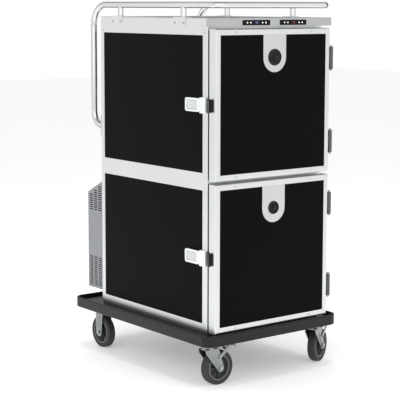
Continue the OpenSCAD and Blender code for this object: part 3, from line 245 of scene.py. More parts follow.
# The sunk faces of the same casting, left satin between the ribs
SATIN_CASTING = Finish("satin_plated_recess", "#e2e4e5", "#d2d4d6", 0.45, 0.42, 0.08, 16.0, 1.6, 0.01)
# Zinc-plated pressed steel: cool grey with faint yellow passivation and a fine spangle
ZINC_PLATE = Finish("zinc_plated_steel", "#a3a6a8", "#8b8e8a", 1.0, 0.30, 0.10, 14.0, 1.4, 0.01)
# Blued zinc on bolts and nuts
ZINC_BOLT = Finish("zinc_plated_bolt", "#c2c6c9", "#9a9c98", 1.0, 0.26, 0.08, 6.0, 0.8, 0.006)
# Satin black coating on an aluminium skin: a very fine orange peel
BLACK_SKIN = Finish(
    "black_coated_board", "#070708", "#0a0a0b", 0.0, 0.42, 0.05, 260.0, 1.3, 0.012, specular=0.04
)
# Grey coated sheet of the cooling unit
GREY_COAT = Finish("grey_powder_coat", "#8f9194", "#838588", 0.0, 0.46, 0.06, 120.0, 0.9)
# Black lining painted on the inner faces of the same sheet and on the slots' cut edges: painted shade that
# keeps the slots dark
SLOT_SHADE_LINING = Finish(
    "black_painted_slot_shade", "#0c0c0d", "#141415", 0.0, 0.85, 0.08, 20.0, 1.6, 0.2, specular=0.1
)
# Thermoformed black plastic of the bumper, with a leather-like grain
BLACK_MOULDING = Finish(
    "grained_black_plastic", "#0b0c0d", "#121314", 0.0, 0.26, 0.07, 45.0, 1.1, 0.03, specular=0.3
)
# The floor of the bumper, painted a lighter grey than the rim: a painted reflection of the white
# surroundings at a grazing angle
BUMPER_FLOOR_PAINTED_REFLECTION = Finish("grey_floor_painted_reflection", "#747678", "#5f6163", 0.0, 0.36, 0.10, 60.0, 2.0, 0.03)
# Matt powder coat on the chassis tubes
CHASSIS_COAT = Finish("black_powder_coat", "#26282a", "#1d1f21", 0.0, 0.58, 0.08, 70.0, 0.7, 0.03)
# Satin plinth, painted dark as painted shade of the gap under the cabinet
PLINTH_GAP_SHADE = Finish("dark_plinth_painted_shade", "#3a3c3e", "#2f3133", 0.0, 0.5, 0.06, 80.0, 0.9)
# Injection-moulded black polyamide of the catches, the inlet and the fan
BLACK_POLYAMIDE = Finish(
    "black_polyamide", "#08090a", "#0e0f10", 0.0, 0.34, 0.08, 12.0, 0.6, 0.02, specular=0.16
)
# The rotary vents, moulded glossier than the catches
VENT_MOULDING = Finish(
    "gloss_vent_moulding", "#060707", "#0b0c0c", 0.0, 0.13, 0.04, 12.0, 0.9, 0.006, specular=0.32
)
# Gloss black bezel of the controllers
GLOSS_BEZEL = Finish(
    "gloss_black_bezel", "#060607", "#09090a", 0.0, 0.22, 0.04, 30.0, 2.0, 0.003, specular=0.15
)
# Tinted windows of the displays, blue for cold and red for hot, which glow a little
COLD_WINDOW = Finish(
    "tinted_window_cold", "#0e0f28", "#12132e", 0.0, 0.12, 0.03, 30.0, 2.0, 0.002, specular=0.2, glow=0.10
)
HOT_WINDOW = replace(COLD_WINDOW, name="tinted_window_hot", colour="#1c080b", shade="#220a0e", glow=0.08)
# Their lit digits
COLD_DIGIT = Finish("lit_digit_cold", "#8a8fc0", "#7c81b0", 0.0, 0.4, 0.05, 10.0, 1.0, 0.001, glow=0.5)
HOT_DIGIT = replace(COLD_DIGIT, name="lit_digit_hot", colour="#a85058", shade="#98484e", glow=0.35)
# Back-lit translucent key caps
KEY_CAP = Finish("backlit_key_cap", "#f4f6f6", "#e6e8e8", 0.0, 0.35, 0.05, 4.0, 0.6, 0.002, glow=0.35)
# Glass-filled polyamide of the wheel centres, painted dark grey: the shaded copy of the rim's polyamide,
# painted shade in the web
HUB_PAINTED_SHADE = Finish("hub_polyamide_painted_shade", "#36383b", "#2a2c2f", 0.0, 0.50, 0.08, 15.0, 0.8, 0.03)
# The same polyamide painted lighter grey on the rim ring that the tyre is moulded onto: a painted highlight
# on the rim's lips
RIM_PAINTED_HIGHLIGHT = Finish("rim_polyamide_painted_highlight", "#66696b", "#56595b", 0.0, 0.46, 0.07, 20.0, 0.9)
# Vulcanised rubber tread, dulled by fine dust
TYRE_RUBBER = Finish(
    "dusty_tyre_rubber", "#2b2c2d", "#38393a", 0.0, 0.70, 0.08, 9.0, 0.7, 0.05, specular=0.4
)
# Extruded grey gasket rubber
GASKET_RUBBER = Finish("grey_gasket_rubber", "#3a3c3e", "#303234", 0.0, 0.62, 0.06, 30.0, 0.8)
# Satin zinc on the hinge leaves
HINGE_ZINC = Finish("satin_zinc_hinge", "#6a6d70", "#585b5e", 1.0, 0.38, 0.08, 20.0, 0.9, 0.01)
# Black enamel of the compressor shell
COMPRESSOR_ENAMEL = Finish(
    "black_shell_enamel", "#101113", "#191a1c", 0.0, 0.22, 0.05, 25.0, 2.5, 0.02, coat=0.4
)
# Mill-finish aluminium fins
CONDENSER_FIN = DrawnMetal(
    "condenser_fin_aluminium", "#c9cbcd", "#a5a8aa", 1.0, 0.42, 0.08, 20.0,
    relief_mm=0.02, along=Along.Y, line_mm=1.5, run_mm=60.0,
)
# Plain aluminium skin of the hidden boards
BOARD_SKIN = Finish("plain_aluminium_skin", "#d4d6d8", "#c3c5c7", 1.0, 0.45, 0.06, 120.0, 1.2, 0.008)

CAD_FINISHES: dict[str, Finish] = {
    node: finish
    for finish, nodes in {
        BLACK_MOULDING: "bumper_tray",
        CHASSIS_COAT: "chassis_frame",
        ANODISED_UPRIGHT: "corner_posts upper_door_frame lower_door_frame",
        ANODISED_LENGTHWISE: "side_rails rail_brackets",
        ANODISED_CROSSWISE: "cross_rails",
        PLINTH_GAP_SHADE: "plinth",
        STRIP_GAP_SHADE: "base_strip",
        BLACK_SKIN: "side_panels rear_panels upper_door_panel lower_door_panel",
        BOARD_SKIN: "deck_panels",
        BRUSHED_SHEET: "top_cover upper_vent_plate lower_vent_plate",
        LINER_SHEET: "liners tray_runners air_ducts",
        FASCIA_SHEET: "control_fascia",
        GLOSS_BEZEL: "cold_controller hot_controller",
        HINGE_ZINC: "cabinet_hinge_leaves upper_door_fittings lower_door_fittings",
        GASKET_RUBBER: "upper_gasket lower_gasket",
        PLATED_CASTING: "latch_bases upper_paddle lower_paddle",
        BLACK_POLYAMIDE: "latch_catches upper_vent_knob lower_vent_knob mains_inlet condenser_fan",
        POLISHED_TUBE: "gallery_rail",
        GREY_COAT: "unit_cover",
        COMPRESSOR_ENAMEL: "compressor",
        CONDENSER_FIN: "condenser",
        ZINC_BOLT: "hinge_pins fasteners left_axle right_axle rear_axles",
        ZINC_PLATE: "caster_plates left_fork right_fork rear_forks left_pedal right_pedal",
        HUB_PAINTED_SHADE: "front_left_hub front_right_hub rear_left_hub rear_right_hub",
        TYRE_RUBBER: "front_left_tyre front_right_tyre rear_left_tyre rear_right_tyre",
    }.items()
    for node in nodes.split()
}
# The body that carries each solid, from the record
BODY_OF: dict[str, str] = {
    node: body for body, nodes in frame["record"]["behaviour"]["bodies"].items() for node in nodes
}
# Solids of bent, drawn or cast metal and the width of their broken edges, in millimetres
SOFTENED: dict[str, float] = {
    "chassis_frame": 0.8, "corner_posts": 0.4, "side_rails": 0.4, "cross_rails": 0.4, "plinth": 0.5,
    "base_strip": 0.6, "top_cover": 0.8, "control_fascia": 0.7, "cold_controller": 0.35,
    "hot_controller": 0.35, "cabinet_hinge_leaves": 0.35, "upper_door_fittings": 0.35,
    "lower_door_fittings": 0.35, "latch_bases": 1.0, "rail_brackets": 0.7, "caster_plates": 0.5,
    "rear_forks": 0.5, "rear_axles": 0.6, "left_fork": 0.5, "right_fork": 0.5, "left_axle": 0.6,
    "right_axle": 0.6, "left_pedal": 0.5, "right_pedal": 0.5,
}


# ---- workbench


def select_all() -> None:
    """Selects the whole mesh in edit mode."""
    bpy.ops.mesh.select_all(action="SELECT")


def merge_close(distance_mm: float) -> None:
    """Merges the corners of the mesh in edit mode that are closer than a distance."""
    select_all()
    bpy.ops.mesh.remove_doubles(threshold=distance_mm * MM)


def leave_edit_mode() -> None:
    """Returns to object mode."""
    bpy.ops.object.mode_set(mode="OBJECT")


def deselect() -> None:
    """Leaves edit mode, if it is on, and deselects every object."""
    if bpy.context.object and bpy.context.object.mode != "OBJECT":
        leave_edit_mode()
    bpy.ops.object.select_all(action="DESELECT")


def activate(thing: Thing, *others: Thing) -> None:
    """Makes one object the active one and selects it, alone or with others.

    Args:
        thing: The object.
        *others: What else is selected.
    """
    deselect()
    for chosen in (thing, *others):
        chosen.select_set(True)
    bpy.context.view_layer.objects.active = thing


def add_shape(add: Callable[..., Any], name: str, **sizes: Any) -> Thing:
    """Adds a primitive and puts its place and size into its mesh.

    Args:
        add: The primitive's operator.
        name: The piece's name.
        **sizes: The operator's arguments.

    Returns:
        The new object.
    """
    deselect()
    add(**sizes)
    thing = bpy.context.object
    thing.name = thing.data.name = name
    bpy.ops.object.transform_apply()
    return thing


def place_mesh(thing: Thing, place: Matrix) -> Thing:
    """Moves a piece's mesh, leaves its object at the origin, and returns it."""
    thing.data.transform(place)
    thing.data.update()
    return thing


def moved(x: float, y: float, z: float) -> Matrix:
    """A move in millimetres."""
    return Matrix.Translation((x * MM, y * MM, z * MM))


def turned(degrees: float, axis: str) -> Matrix:
    """A turn about one axis through the origin."""
    return Matrix.Rotation(math.radians(degrees), 4, axis)


def scaled(x: float, y: float, z: float) -> Matrix:
    """A different scale along each axis."""
    return Matrix.Diagonal((x, y, z, 1.0))


def block(name: str, x: float, y: float, z: float) -> Thing:
    """Adds a block of three lengths in millimetres round the origin."""
    cube = add_shape(bpy.ops.mesh.primitive_cube_add, name, size=1.0)
    return place_mesh(cube, scaled(x * MM, y * MM, z * MM))


def edit_faces(thing: Thing, test: FaceTest) -> None:
    """Opens a piece in edit mode with some of its faces selected.

    Args:
        thing: The piece.
        test: Says from a face's middle and normal whether it is selected.
    """
    activate(thing)
    bpy.ops.object.mode_set(mode="EDIT")
    bpy.ops.mesh.select_mode(type="FACE")
    bpy.ops.mesh.select_all(action="DESELECT")
    shape = bmesh.from_edit_mesh(thing.data)
    for face in shape.faces:
        if test(face.calc_center_median(), face.normal):
            face.select_set(True)
    shape.select_flush(True)
    bmesh.update_edit_mesh(thing.data)


def taper(thing: Thing, test: FaceTest, scale: tuple[float, float, float]) -> None:
    """Resizes some faces of a piece about their middle.

    Args:
        thing: The piece.
        test: Says from a face's middle and normal whether it is resized.
        scale: The scale along each axis.
    """
    edit_faces(thing, test)
    bpy.ops.transform.resize(value=scale)
    leave_edit_mode()


def apply_modifier(thing: Thing, kind: str, **settings: Any) -> None:
    """Adds a modifier to a piece and applies it.

    Args:
        thing: The piece.
        kind: The modifier's type.
        **settings: Its settings.
    """
    activate(thing)
    modifier = thing.modifiers.new(kind.lower(), kind)
    for name, value in settings.items():
        setattr(modifier, name, value)
    bpy.ops.object.modifier_apply(modifier=modifier.name)


def stamp(thing: Thing, name: str, place: Matrix) -> Thing:
    """Copies a piece with its own mesh and puts the copy in its place.

    Args:
        thing: The piece, modelled at the origin.
        name: The copy's name.
        place: The copy's move and turn.

    Returns:
        The copy, with its place in its mesh.
    """
    copy = thing.copy()
    copy.data = thing.data.copy()
    copy.data.transform(place)
    copy.name = copy.data.name = name
    bpy.context.scene.collection.objects.link(copy)
    return copy


def copies_at(thing: Thing, places: Iterable[Matrix], name: str) -> Thing:
    """Joins copies of a piece, each with its own mesh, and removes the first one.

    Args:
        thing: The piece, modelled at the origin.
        places: Where each copy goes.
        name: The joined piece's name.

    Returns:
        The joined piece.
    """
    first, *others = [stamp(thing, name, place) for place in places]
    bpy.data.objects.remove(thing)
    activate(first, *others)
    if others:
        bpy.ops.object.join()
    return first


def smooth(thing: Thing, angle_deg: float = 35.0) -> None:
    """Shades a piece smooth except over edges that are sharper than an angle."""
    activate(thing)
    bpy.ops.object.shade_smooth_by_angle(angle=math.radians(angle_deg))


def hand_over(thing: Thing, finish: Finish, body: str, stands_for: Sequence[str] = ()) -> Thing:
    """Gives a finished piece its finish and fixes it to the body that carries it.

    Args:
        thing: The piece.
        finish: Its finish.
        body: The body that it moves with.
        stands_for: The solids that it replaces.

    Returns:
        The piece.
    """
    thing.data.materials.clear()
    thing.data.materials.append(finish.material())
    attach(thing, body)
    if stands_for:
        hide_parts(*stands_for)
    LOG.info("%s: %d faces, on %s", thing.name, len(thing.data.polygons), body)
    return thing


def paint(thing: Thing, finish: Finish, test: FaceTest) -> None:
    """Gives some faces of a piece another finish.

    Args:
        thing: The piece, which has its main finish already.
        finish: The other finish.
        test: Says from a face's middle and normal, in millimetres, whether it takes it.
    """
    thing.data.materials.append(finish.material())
    for face in thing.data.polygons:
        if test(face.center / MM, face.normal):
            face.material_index = len(thing.data.materials) - 1


# ---- broken edges


@dataclass(frozen=True)
class BrokenEdges:
    """A solid shown again with its sharp edges broken, as deburred or folded metal has them."""

    node: str
    width_mm: float
    segments: int = 2
    angle_deg: float = 40.0

    def build(self) -> Thing:
        """Copies the solid, merges its loose faces and rounds its edges.

        Returns:
            The piece.
        """
        thing = self.copied()
        activate(thing)
        bpy.ops.mesh.customdata_custom_splitnormals_clear()
        bpy.ops.object.mode_set(mode="EDIT")
        merge_close(0.002)
        bpy.ops.mesh.dissolve_limited(angle_limit=math.radians(0.5))
        self.divide()
        leave_edit_mode()
        apply_modifier(
            thing,
            "BEVEL",
            width=self.width_mm * MM,
            segments=self.segments,
            angle_limit=math.radians(self.angle_deg),
            miter_outer="MITER_ARC",
        )
        smooth(thing)
        apply_modifier(thing, "WEIGHTED_NORMAL", keep_sharp=True)
        node = self.node
        return hand_over(thing, CAD_FINISHES[node], BODY_OF[node], [node])

    def copied(self) -> Thing:
        """Copies the solid as a free object.

        Returns:
            The copy.
        """
        thing = stamp(frame["nodes"][self.node], self.node + "_finished", Matrix.Identity(4))
        for key in list(thing.keys()):
            del thing[key]
        thing.parent = None
        thing.matrix_world = Matrix.Identity(4)
        return thing

    def divide(self) -> None:
        """Cuts the faces further, in edit mode; a plain solid needs no more cuts."""


@dataclass(frozen=True)
class MitredFrame(BrokenEdges):
    """A door frame of four profiles, cut at its corners so that each shows its own grain."""

    z0: float = 0.0
    z1: float = 0.0

    def divide(self) -> None:
        """Cuts the frame's faces along the four mitres."""
        for side in BOTH_SIDES:
            for z, slope in ((self.z0, -side), (self.z1, side)):
                select_all()
                bpy.ops.mesh.bisect(
                    plane_co=(side * CABINET_X * MM, 0.0, z * MM),
                    plane_no=Vector((1.0, 0.0, -slope)).normalized(),
                )

    def is_level(self, middle: Vector, normal: Vector) -> bool:
        """Says whether a face belongs to the top or the bottom profile."""
        return min(middle.z - self.z0, self.z1 - middle.z) < CABINET_X - abs(middle.x)


@dataclass(frozen=True)
class RibbedPaddle(BrokenEdges):
    """A latch paddle; the sunk face with its ribs is cut up so that it bevels cleanly."""

    def divide(self) -> None:
        """Cuts every face into triangles."""
        select_all()
        bpy.ops.mesh.quads_convert_to_tris()


def lathe(name: str, outline: Outline, steps: int = 64) -> Thing:
    """Turns a closed outline round the Z axis.

    Args:
        name: The piece's name.
        outline: Radius and height of each corner, in millimetres, in order.
        steps: Faces round the axis.

    Returns:
        The turned piece.
    """
    thing = add_shape(bpy.ops.mesh.primitive_plane_add, name, size=MM)
    bpy.ops.object.mode_set(mode="EDIT")
    bpy.ops.mesh.select_mode(type="VERT")
    select_all()
    bpy.ops.mesh.merge(type="CENTER")
    first = outline[0]
    bpy.ops.transform.translate(value=(first[0] * MM, 0.0, first[1] * MM))
    for here, there in zip(outline, [*outline[1:], first]):
        step = ((there[0] - here[0]) * MM, 0.0, (there[1] - here[1]) * MM)
        bpy.ops.mesh.extrude_region_move(TRANSFORM_OT_translate={"value": step})
    merge_close(0.001)
    select_all()
    bpy.ops.mesh.spin(steps=steps, angle=math.tau, axis=(0.0, 0.0, 1.0))
    merge_close(0.001)
    bpy.ops.mesh.normals_make_consistent()
    leave_edit_mode()
    return thing


# ---- castors


class Corner(Enum):
    """The four castors: x and y of the fork's axis, the wheel's trail and the heading in degrees."""

    FRONT_LEFT = (-300.0, -430.0, 45.0, 0.0)
    FRONT_RIGHT = (300.0, -430.0, 45.0, 24.0)
    REAR_LEFT = (-288.0, 385.0, 0.0, 90.0)
    REAR_RIGHT = (288.0, 385.0, 0.0, 90.0)

    def at(self, height: float, trail: float) -> Matrix:
        """A place at a height and a distance from the fork's axis, turned to its heading."""
        x, y, _, heading = self.value
        return moved(x, y, height) @ turned(heading, "Z") @ moved(trail, 0.0, 0.0)

    def wheel(self, radius: float) -> Matrix:
        """The place of a wheel that is modelled round Z."""
        return self.at(radius, self.value[2]) @ turned(-90.0, "X")


@dataclass
class CastorWheels:
    """Four rubber-tyred wheels: ribbed centre, rim ring, bearing covers and a grooved tyre."""

    radius: float = 75.0
    rim: float = 56.5
    width: float = 38.0
    ribs: int = 8

    def build(self) -> None:
        """Models each form once and fits a copy of it to every wheel."""
        self.fit(self.tyre(), "grooved_tyre", TYRE_RUBBER, "tyre_rubber", "tyre")
        # The rim ring takes a painted highlight and the web painted shade, as lit and shaded copies of one
        # polyamide
        self.fit(self.rim_ring(), "rim_ring", RIM_PAINTED_HIGHLIGHT, "hub_plastic", "hub")
        self.fit(self.web(), "ribbed_web", HUB_PAINTED_SHADE, "hub_plastic", "hub")
        self.fit(self.covers(), "bearing_covers", ZINC_PLATE, "zinc_plate")

    def fit(self, form: Thing, name: str, finish: Finish, slot: str, stands_for: str = "") -> None:
        """Copies a form to the four wheels.

        Args:
            form: The form, modelled round Z.
            name: The end of each copy's name.
            finish: Its finish.
            slot: The record's material slot; not used.
            stands_for: The end of the name of the solid that it replaces, if any.
        """
        for corner in Corner:
            label = corner.name.lower()
            nodes = [f"{label}_{stands_for}"] if stands_for else []
            copy = stamp(form, f"{label}_{name}", corner.wheel(self.radius))
            hand_over(copy, finish, label + "_wheel", nodes)
        bpy.data.objects.remove(form)

    @staticmethod
    def mirrored(half: Outline) -> Outline:
        """Completes an outline that is the same on both faces of the wheel."""
        return [*half, *[(r, -z) for r, z in reversed(half)]]

    def tyre(self) -> Thing:
        """Tyre with a step and a raised ring in each side wall and two shallow tread grooves.

        Returns:
            The tyre.
        """
        w, r, b = self.width / 2, self.radius, self.rim
        half = [
            (b, w - 1.6), (b + 1.6, w - 0.8), (b + 2.6, w - 0.8), (b + 3.2, w), (b + 5.8, w),
            (b + 6.4, w - 0.8), (r - 7.4, w - 0.8), (r - 4.4, w - 1.3), (r - 2.2, w - 2.9),
            (r - 0.7, w - 5.0), (r, w - 7.6), (r, w - 12.0), (r - 1.2, w - 12.1),
            (r - 1.2, w - 13.3), (r, w - 13.4), (r, 0.8),
        ]
        form = lathe("tyre", self.mirrored(half), 96)
        smooth(form, 32.0)
        return form

    def rim_ring(self) -> Thing:
        """Rim ring that carries the tyre, with a rolled lip on each face.

        Returns:
            The ring.
        """
        w, b = self.width / 2, self.rim
        half = [
            (b - 7.0, 3.6), (b - 7.0, w - 2.4), (b - 6.0, w - 1.2), (b - 2.2, w - 1.2), (b - 0.05, w - 2.6),
        ]
        form = lathe("rim", self.mirrored(half), 96)
        smooth(form, 32.0)
        return form

    def web(self) -> Thing:
        """Dished web with tapered ribs and the barrel round the axle.

        Returns:
            The web.
        """
        half = [(6.05, 22.5), (14.8, 22.5), (16.6, 20.4), (18.0, 5.4), (21.0, 4.0), (self.rim - 6.6, 4.0)]
        web = lathe("web", self.mirrored(half), 64)
        rib = block("rib", 36.0, 3.8, 24.0)
        taper(rib, lambda middle, normal: normal.x > FACING, (1.0, 1.25, 0.86))
        apply_modifier(rib, "BEVEL", width=0.9 * MM, segments=2)
        places = [turned(360 * i / self.ribs, "Z") @ moved(33.0, 0.0, 0.0) for i in range(self.ribs)]
        activate(web, copies_at(rib, places, "ribs"))
        bpy.ops.object.join()
        smooth(web)
        return web

    def covers(self) -> Thing:
        """Pressed dust cover over the bearing on each face of the wheel.

        Returns:
            The covers.
        """
        outline = [(6.3, 21.35), (6.3, 22.75), (11.6, 22.75), (13.2, 21.95), (13.8, 21.35)]
        faces = [Matrix.Identity(4), turned(180.0, "X")]
        both = copies_at(lathe("cover", outline, 48), faces, "covers")
        smooth(both)
        return both


@dataclass
class GreaseNipples:
    """A grease nipple in the race cup of each swivel castor, on the side away from the wheel."""

    height: float = 164.6
    cup_radius: float = 28.2

    def build(self) -> None:
        """Turns one nipple and fits it to both castors."""
        outline = [
            (0.0, 0.0), (3.0, 0.0), (3.0, 1.8), (1.6, 2.4), (1.6, 3.8), (2.1, 4.6), (1.4, 5.8), (0.0, 5.8),
        ]
        form = lathe("nipple", outline, 20)
        smooth(form)
        for side, corner in (("left", Corner.FRONT_LEFT), ("right", Corner.FRONT_RIGHT)):
            place = corner.at(self.height, -self.cup_radius) @ turned(-90.0, "Y")
            nipple = stamp(form, f"{side}_grease_nipple", place)
            hand_over(nipple, ZINC_BOLT, f"{side}_caster")
        bpy.data.objects.remove(form)


# ---- vents


@dataclass
class Vent:
    """A black moulded rotary vent: bezel ring on the door's plate, turning disc and its rivet."""

    door: str
    centre_z: float
    radius: float
    face_y: float = -493.0
    vanes: int = 10

    def build(self) -> None:
        """Builds the bezel, the disc and the rivet."""
        r = self.radius
        bezel = [
            (r - 4.6, 1.62), (r + 1.6, 1.62), (r + 1.6, 2.6), (r + 0.6, 5.0), (r - 0.8, 6.6), (r - 3.0, 6.9),
            (r - 4.6, 6.2),
        ]
        self.fit(lathe(f"{self.door}_vent_bezel", bezel, 96), 30.0, "door")
        self.fit(self.disc(), 30.0, "vent", [f"{self.door}_vent_knob"])
        rivet = [(0.0, 7.05), (4.6, 7.05), (4.6, 7.3), (3.7, 7.7), (1.9, 7.9), (0.0, 7.95)]
        self.fit(lathe(f"{self.door}_vent_rivet", rivet, 32), 40.0, "vent")

    def fit(self, form: Thing, angle_deg: float, carrier: str, stands_for: Sequence[str] = ()) -> None:
        """Puts a form on the door.

        Args:
            form: The form, modelled looking up.
            angle_deg: The angle from which its edges are sharp.
            carrier: The end of the name of the body that carries it.
            stands_for: The solids that it replaces.
        """
        place = moved(0.0, self.face_y, self.centre_z) @ turned(90.0, "X")
        smooth(place_mesh(form, place), angle_deg)
        hand_over(form, VENT_MOULDING, f"{self.door}_{carrier}", stands_for)

    def disc(self) -> Thing:
        """Models the turning disc: a stepped plate with raised rings and narrow radial vanes.

        Returns:
            The disc.
        """
        r = self.radius - 4.9
        outline = [
            (4.1, 2.0), (r, 2.0), (r, 4.4), (r - 2.0, 4.4), (r - 2.6, 3.7), (r - 6.0, 3.7), (r - 6.6, 4.6),
            (r - 8.4, 4.6), (r - 9.0, 3.7), (11.4, 3.7), (10.6, 6.6), (9.0, 7.0), (4.1, 7.0),
        ]
        disc = lathe(f"{self.door}_vent_disc", outline, 96)
        length = r - 10.5
        vane = block("vane", length, 1.6, 2.4)
        taper(vane, lambda middle, normal: normal.z > FACING, (0.94, 0.45, 1.0))
        out = moved(10.0 + length / 2, 0.0, 4.1)
        places = [turned(360 * i / self.vanes, "Z") @ out for i in range(self.vanes)]
        activate(disc, copies_at(vane, places, "vanes"))
        bpy.ops.object.join()
        return disc


# ---- screws

# How far a screw's cross is turned from upright, in degrees
SCREW_TURN = 27.0


@dataclass
class PanHead:
    """A pan-head screw with a cross recess, copied to each of its places."""

    radius: float
    height: float

    def build_one(self) -> Thing:
        """Models one head, standing on z = 0 and looking up.

        Returns:
            The head.
        """
        radius, height = self.radius * MM, self.height * MM
        add, middle = bpy.ops.mesh.primitive_cylinder_add, (0.0, 0.0, height / 2)
        head = add_shape(add, "head", vertices=24, radius=radius, depth=height, location=middle)
        edit_faces(head, lambda middle, normal: normal.z > FACING)
        bpy.ops.mesh.bevel(offset=0.55 * height, segments=3, affect="EDGES")
        leave_edit_mode()
        bar = block("bar", self.radius * 1.15, self.radius * 0.26, self.height)
        for angle in (0.0, 90.0):
            cutter = stamp(bar, "cutter", moved(0.0, 0.0, self.height * 1.05) @ turned(angle, "Z"))
            apply_modifier(head, "BOOLEAN", operation="DIFFERENCE", solver="EXACT", object=cutter)
            bpy.data.objects.remove(cutter)
        bpy.data.objects.remove(bar)
        return head

    def build(self, name: str, places: Iterable[Matrix], body: str = "cabinet") -> None:
        """Puts a screw at each place.

        Args:
            name: The joined piece's name.
            places: Foot of each head, with the head looking along its Z.
            body: The body that carries the screws.
        """
        heads = copies_at(self.build_one(), places, name)
        smooth(heads, 30.0)
        hand_over(heads, ZINC_BOLT, body)


def looking(way: str, *foot: float) -> Matrix:
    """Place of a small part on a face of the trolley.

    Args:
        way: The direction that it faces, as "-x", "+x", "-y" or "+y".
        *foot: Its x, y and z, in millimetres.

    Returns:
        The move and turn.
    """
    sign = -1.0 if way[0] == "-" else 1.0
    turn = turned(sign * 90.0, "Y") if way[1] == "x" else turned(sign * -90.0, "X")
    return moved(*foot) @ turn @ turned(SCREW_TURN, "Z")


# ---- controllers


@dataclass
class Controller:
    """The front of a slim controller: a tinted window, lit digits and four key caps."""

    name: str
    x: float
    reading: str
    window: Finish
    digit: Finish
    z: float = 1529.5
    face_y: float = -496.0

    # The lit segments of each figure, and where each segment lies: across, up and its turn in degrees
    LIT: ClassVar[dict[str, str]] = {"0": "abcdef", "4": "fgbc", "5": "afgcd", "7": "abc"}
    SEGMENTS: ClassVar[dict[str, tuple[float, float, float]]] = {
        "a": (0.0, 4.3, 0.0), "b": (2.15, 2.15, 90.0), "c": (2.15, -2.15, 90.0), "d": (0.0, -4.3, 0.0),
        "e": (-2.15, -2.15, 90.0), "f": (-2.15, 2.15, 90.0), "g": (0.0, 0.0, 0.0),
    }

    def build(self) -> None:
        """Builds the window, the digits and the keys."""
        glass = block(self.name + "_window", 37.6, 12.6, 0.4)
        apply_modifier(glass, "BEVEL", width=0.15 * MM, segments=2)
        self.fit(glass, -0.42, self.window)
        self.fit(self.digits(), -0.23, self.digit)
        outline = [(0.0, -0.2), (3.35, -0.2), (3.35, 0.3), (3.0, 0.6), (1.8, 0.8), (0.0, 0.85)]
        key = lathe("key", outline, 32)
        smooth(key, 40.0)
        caps = [moved(x, 0.0, 0.0) for x in (-50.0, -32.0, 32.0, 50.0)]
        self.fit(copies_at(key, caps, self.name + "_keys"), 0.0, KEY_CAP)

    def fit(self, form: Thing, out: float, finish: Finish) -> None:
        """Puts a form that looks up so many millimetres in front of the bezel."""
        place = moved(self.x, self.face_y - out, self.z) @ turned(90.0, "X")
        hand_over(place_mesh(form, place), finish, "cabinet")

    def digits(self) -> Thing:
        """Models seven-segment digits, each bar with pointed ends.

        Returns:
            The digits, looking up.
        """
        bar = add_shape(bpy.ops.mesh.primitive_plane_add, "bar", size=1.0)
        place_mesh(bar, scaled(4.0 * MM, 1.0 * MM, 1.0))
        edit_faces(bar, lambda middle, normal: True)
        bpy.ops.mesh.bevel(offset=0.42 * MM, affect="VERTICES")
        select_all()
        bpy.ops.mesh.extrude_region_move(TRANSFORM_OT_translate={"value": (0.0, 0.0, 0.08 * MM)})
        leave_edit_mode()
        pitch = 7.4
        first = -pitch * (len(self.reading) - 1) / 2
        places = []
        for i, figure in enumerate(self.reading):
            for x, y, angle in (self.SEGMENTS[part] for part in self.LIT[figure]):
                places.append(moved(first + pitch * i + x, y, 0.0) @ turned(angle, "Z"))
        return copies_at(bar, places, self.name + "_digits")


# ---- trolley


@dataclass
class LatchCatch:
    """Latch catch: a plated tongue over the gap and the door's edge, with a black nose moulded on it."""

    levels: tuple[float, ...] = (1190.5, 549.5)
    height: float = 56.0

    def build(self) -> None:
        """Models the tongue and the nose once and fits them at both latches."""
        tongue = block("tongue", 3.6, 30.0, self.height)
        taper(tongue, lambda middle, normal: normal.y < -FACING, (0.5, 1.0, 0.86))
        apply_modifier(tongue, "BEVEL", width=0.6 * MM, segments=2)
        self.fit(tongue, (-321.4, -458.0), HINGE_ZINC, "tongues")
        add = bpy.ops.mesh.primitive_cylinder_add
        nose = add_shape(add, "nose", vertices=32, radius=5.8 * MM, depth=self.height * MM)
        place_mesh(nose, scaled(0.80, 1.0, 1.0))
        edit_faces(nose, lambda middle, normal: abs(normal.z) > FACING)
        bpy.ops.mesh.inset(thickness=1.2 * MM)
        leave_edit_mode()
        apply_modifier(nose, "BEVEL", width=0.9 * MM, segments=3, angle_limit=math.radians(50.0))
        self.fit(nose, (-324.6, -467.0), BLACK_POLYAMIDE, "noses")

    def fit(self, form: Thing, place: tuple[float, float], finish: Finish, name: str) -> None:
        """Copies one form to both latches.

        Args:
            form: The form, modelled round the origin.
            place: Its x and y.
            finish: Its finish.
            name: The end of the joined piece's name.
        """
        both = copies_at(form, [moved(*place, z) for z in self.levels], "latch_" + name)
        smooth(both)
        hand_over(both, finish, "cabinet", ["latch_catches"])


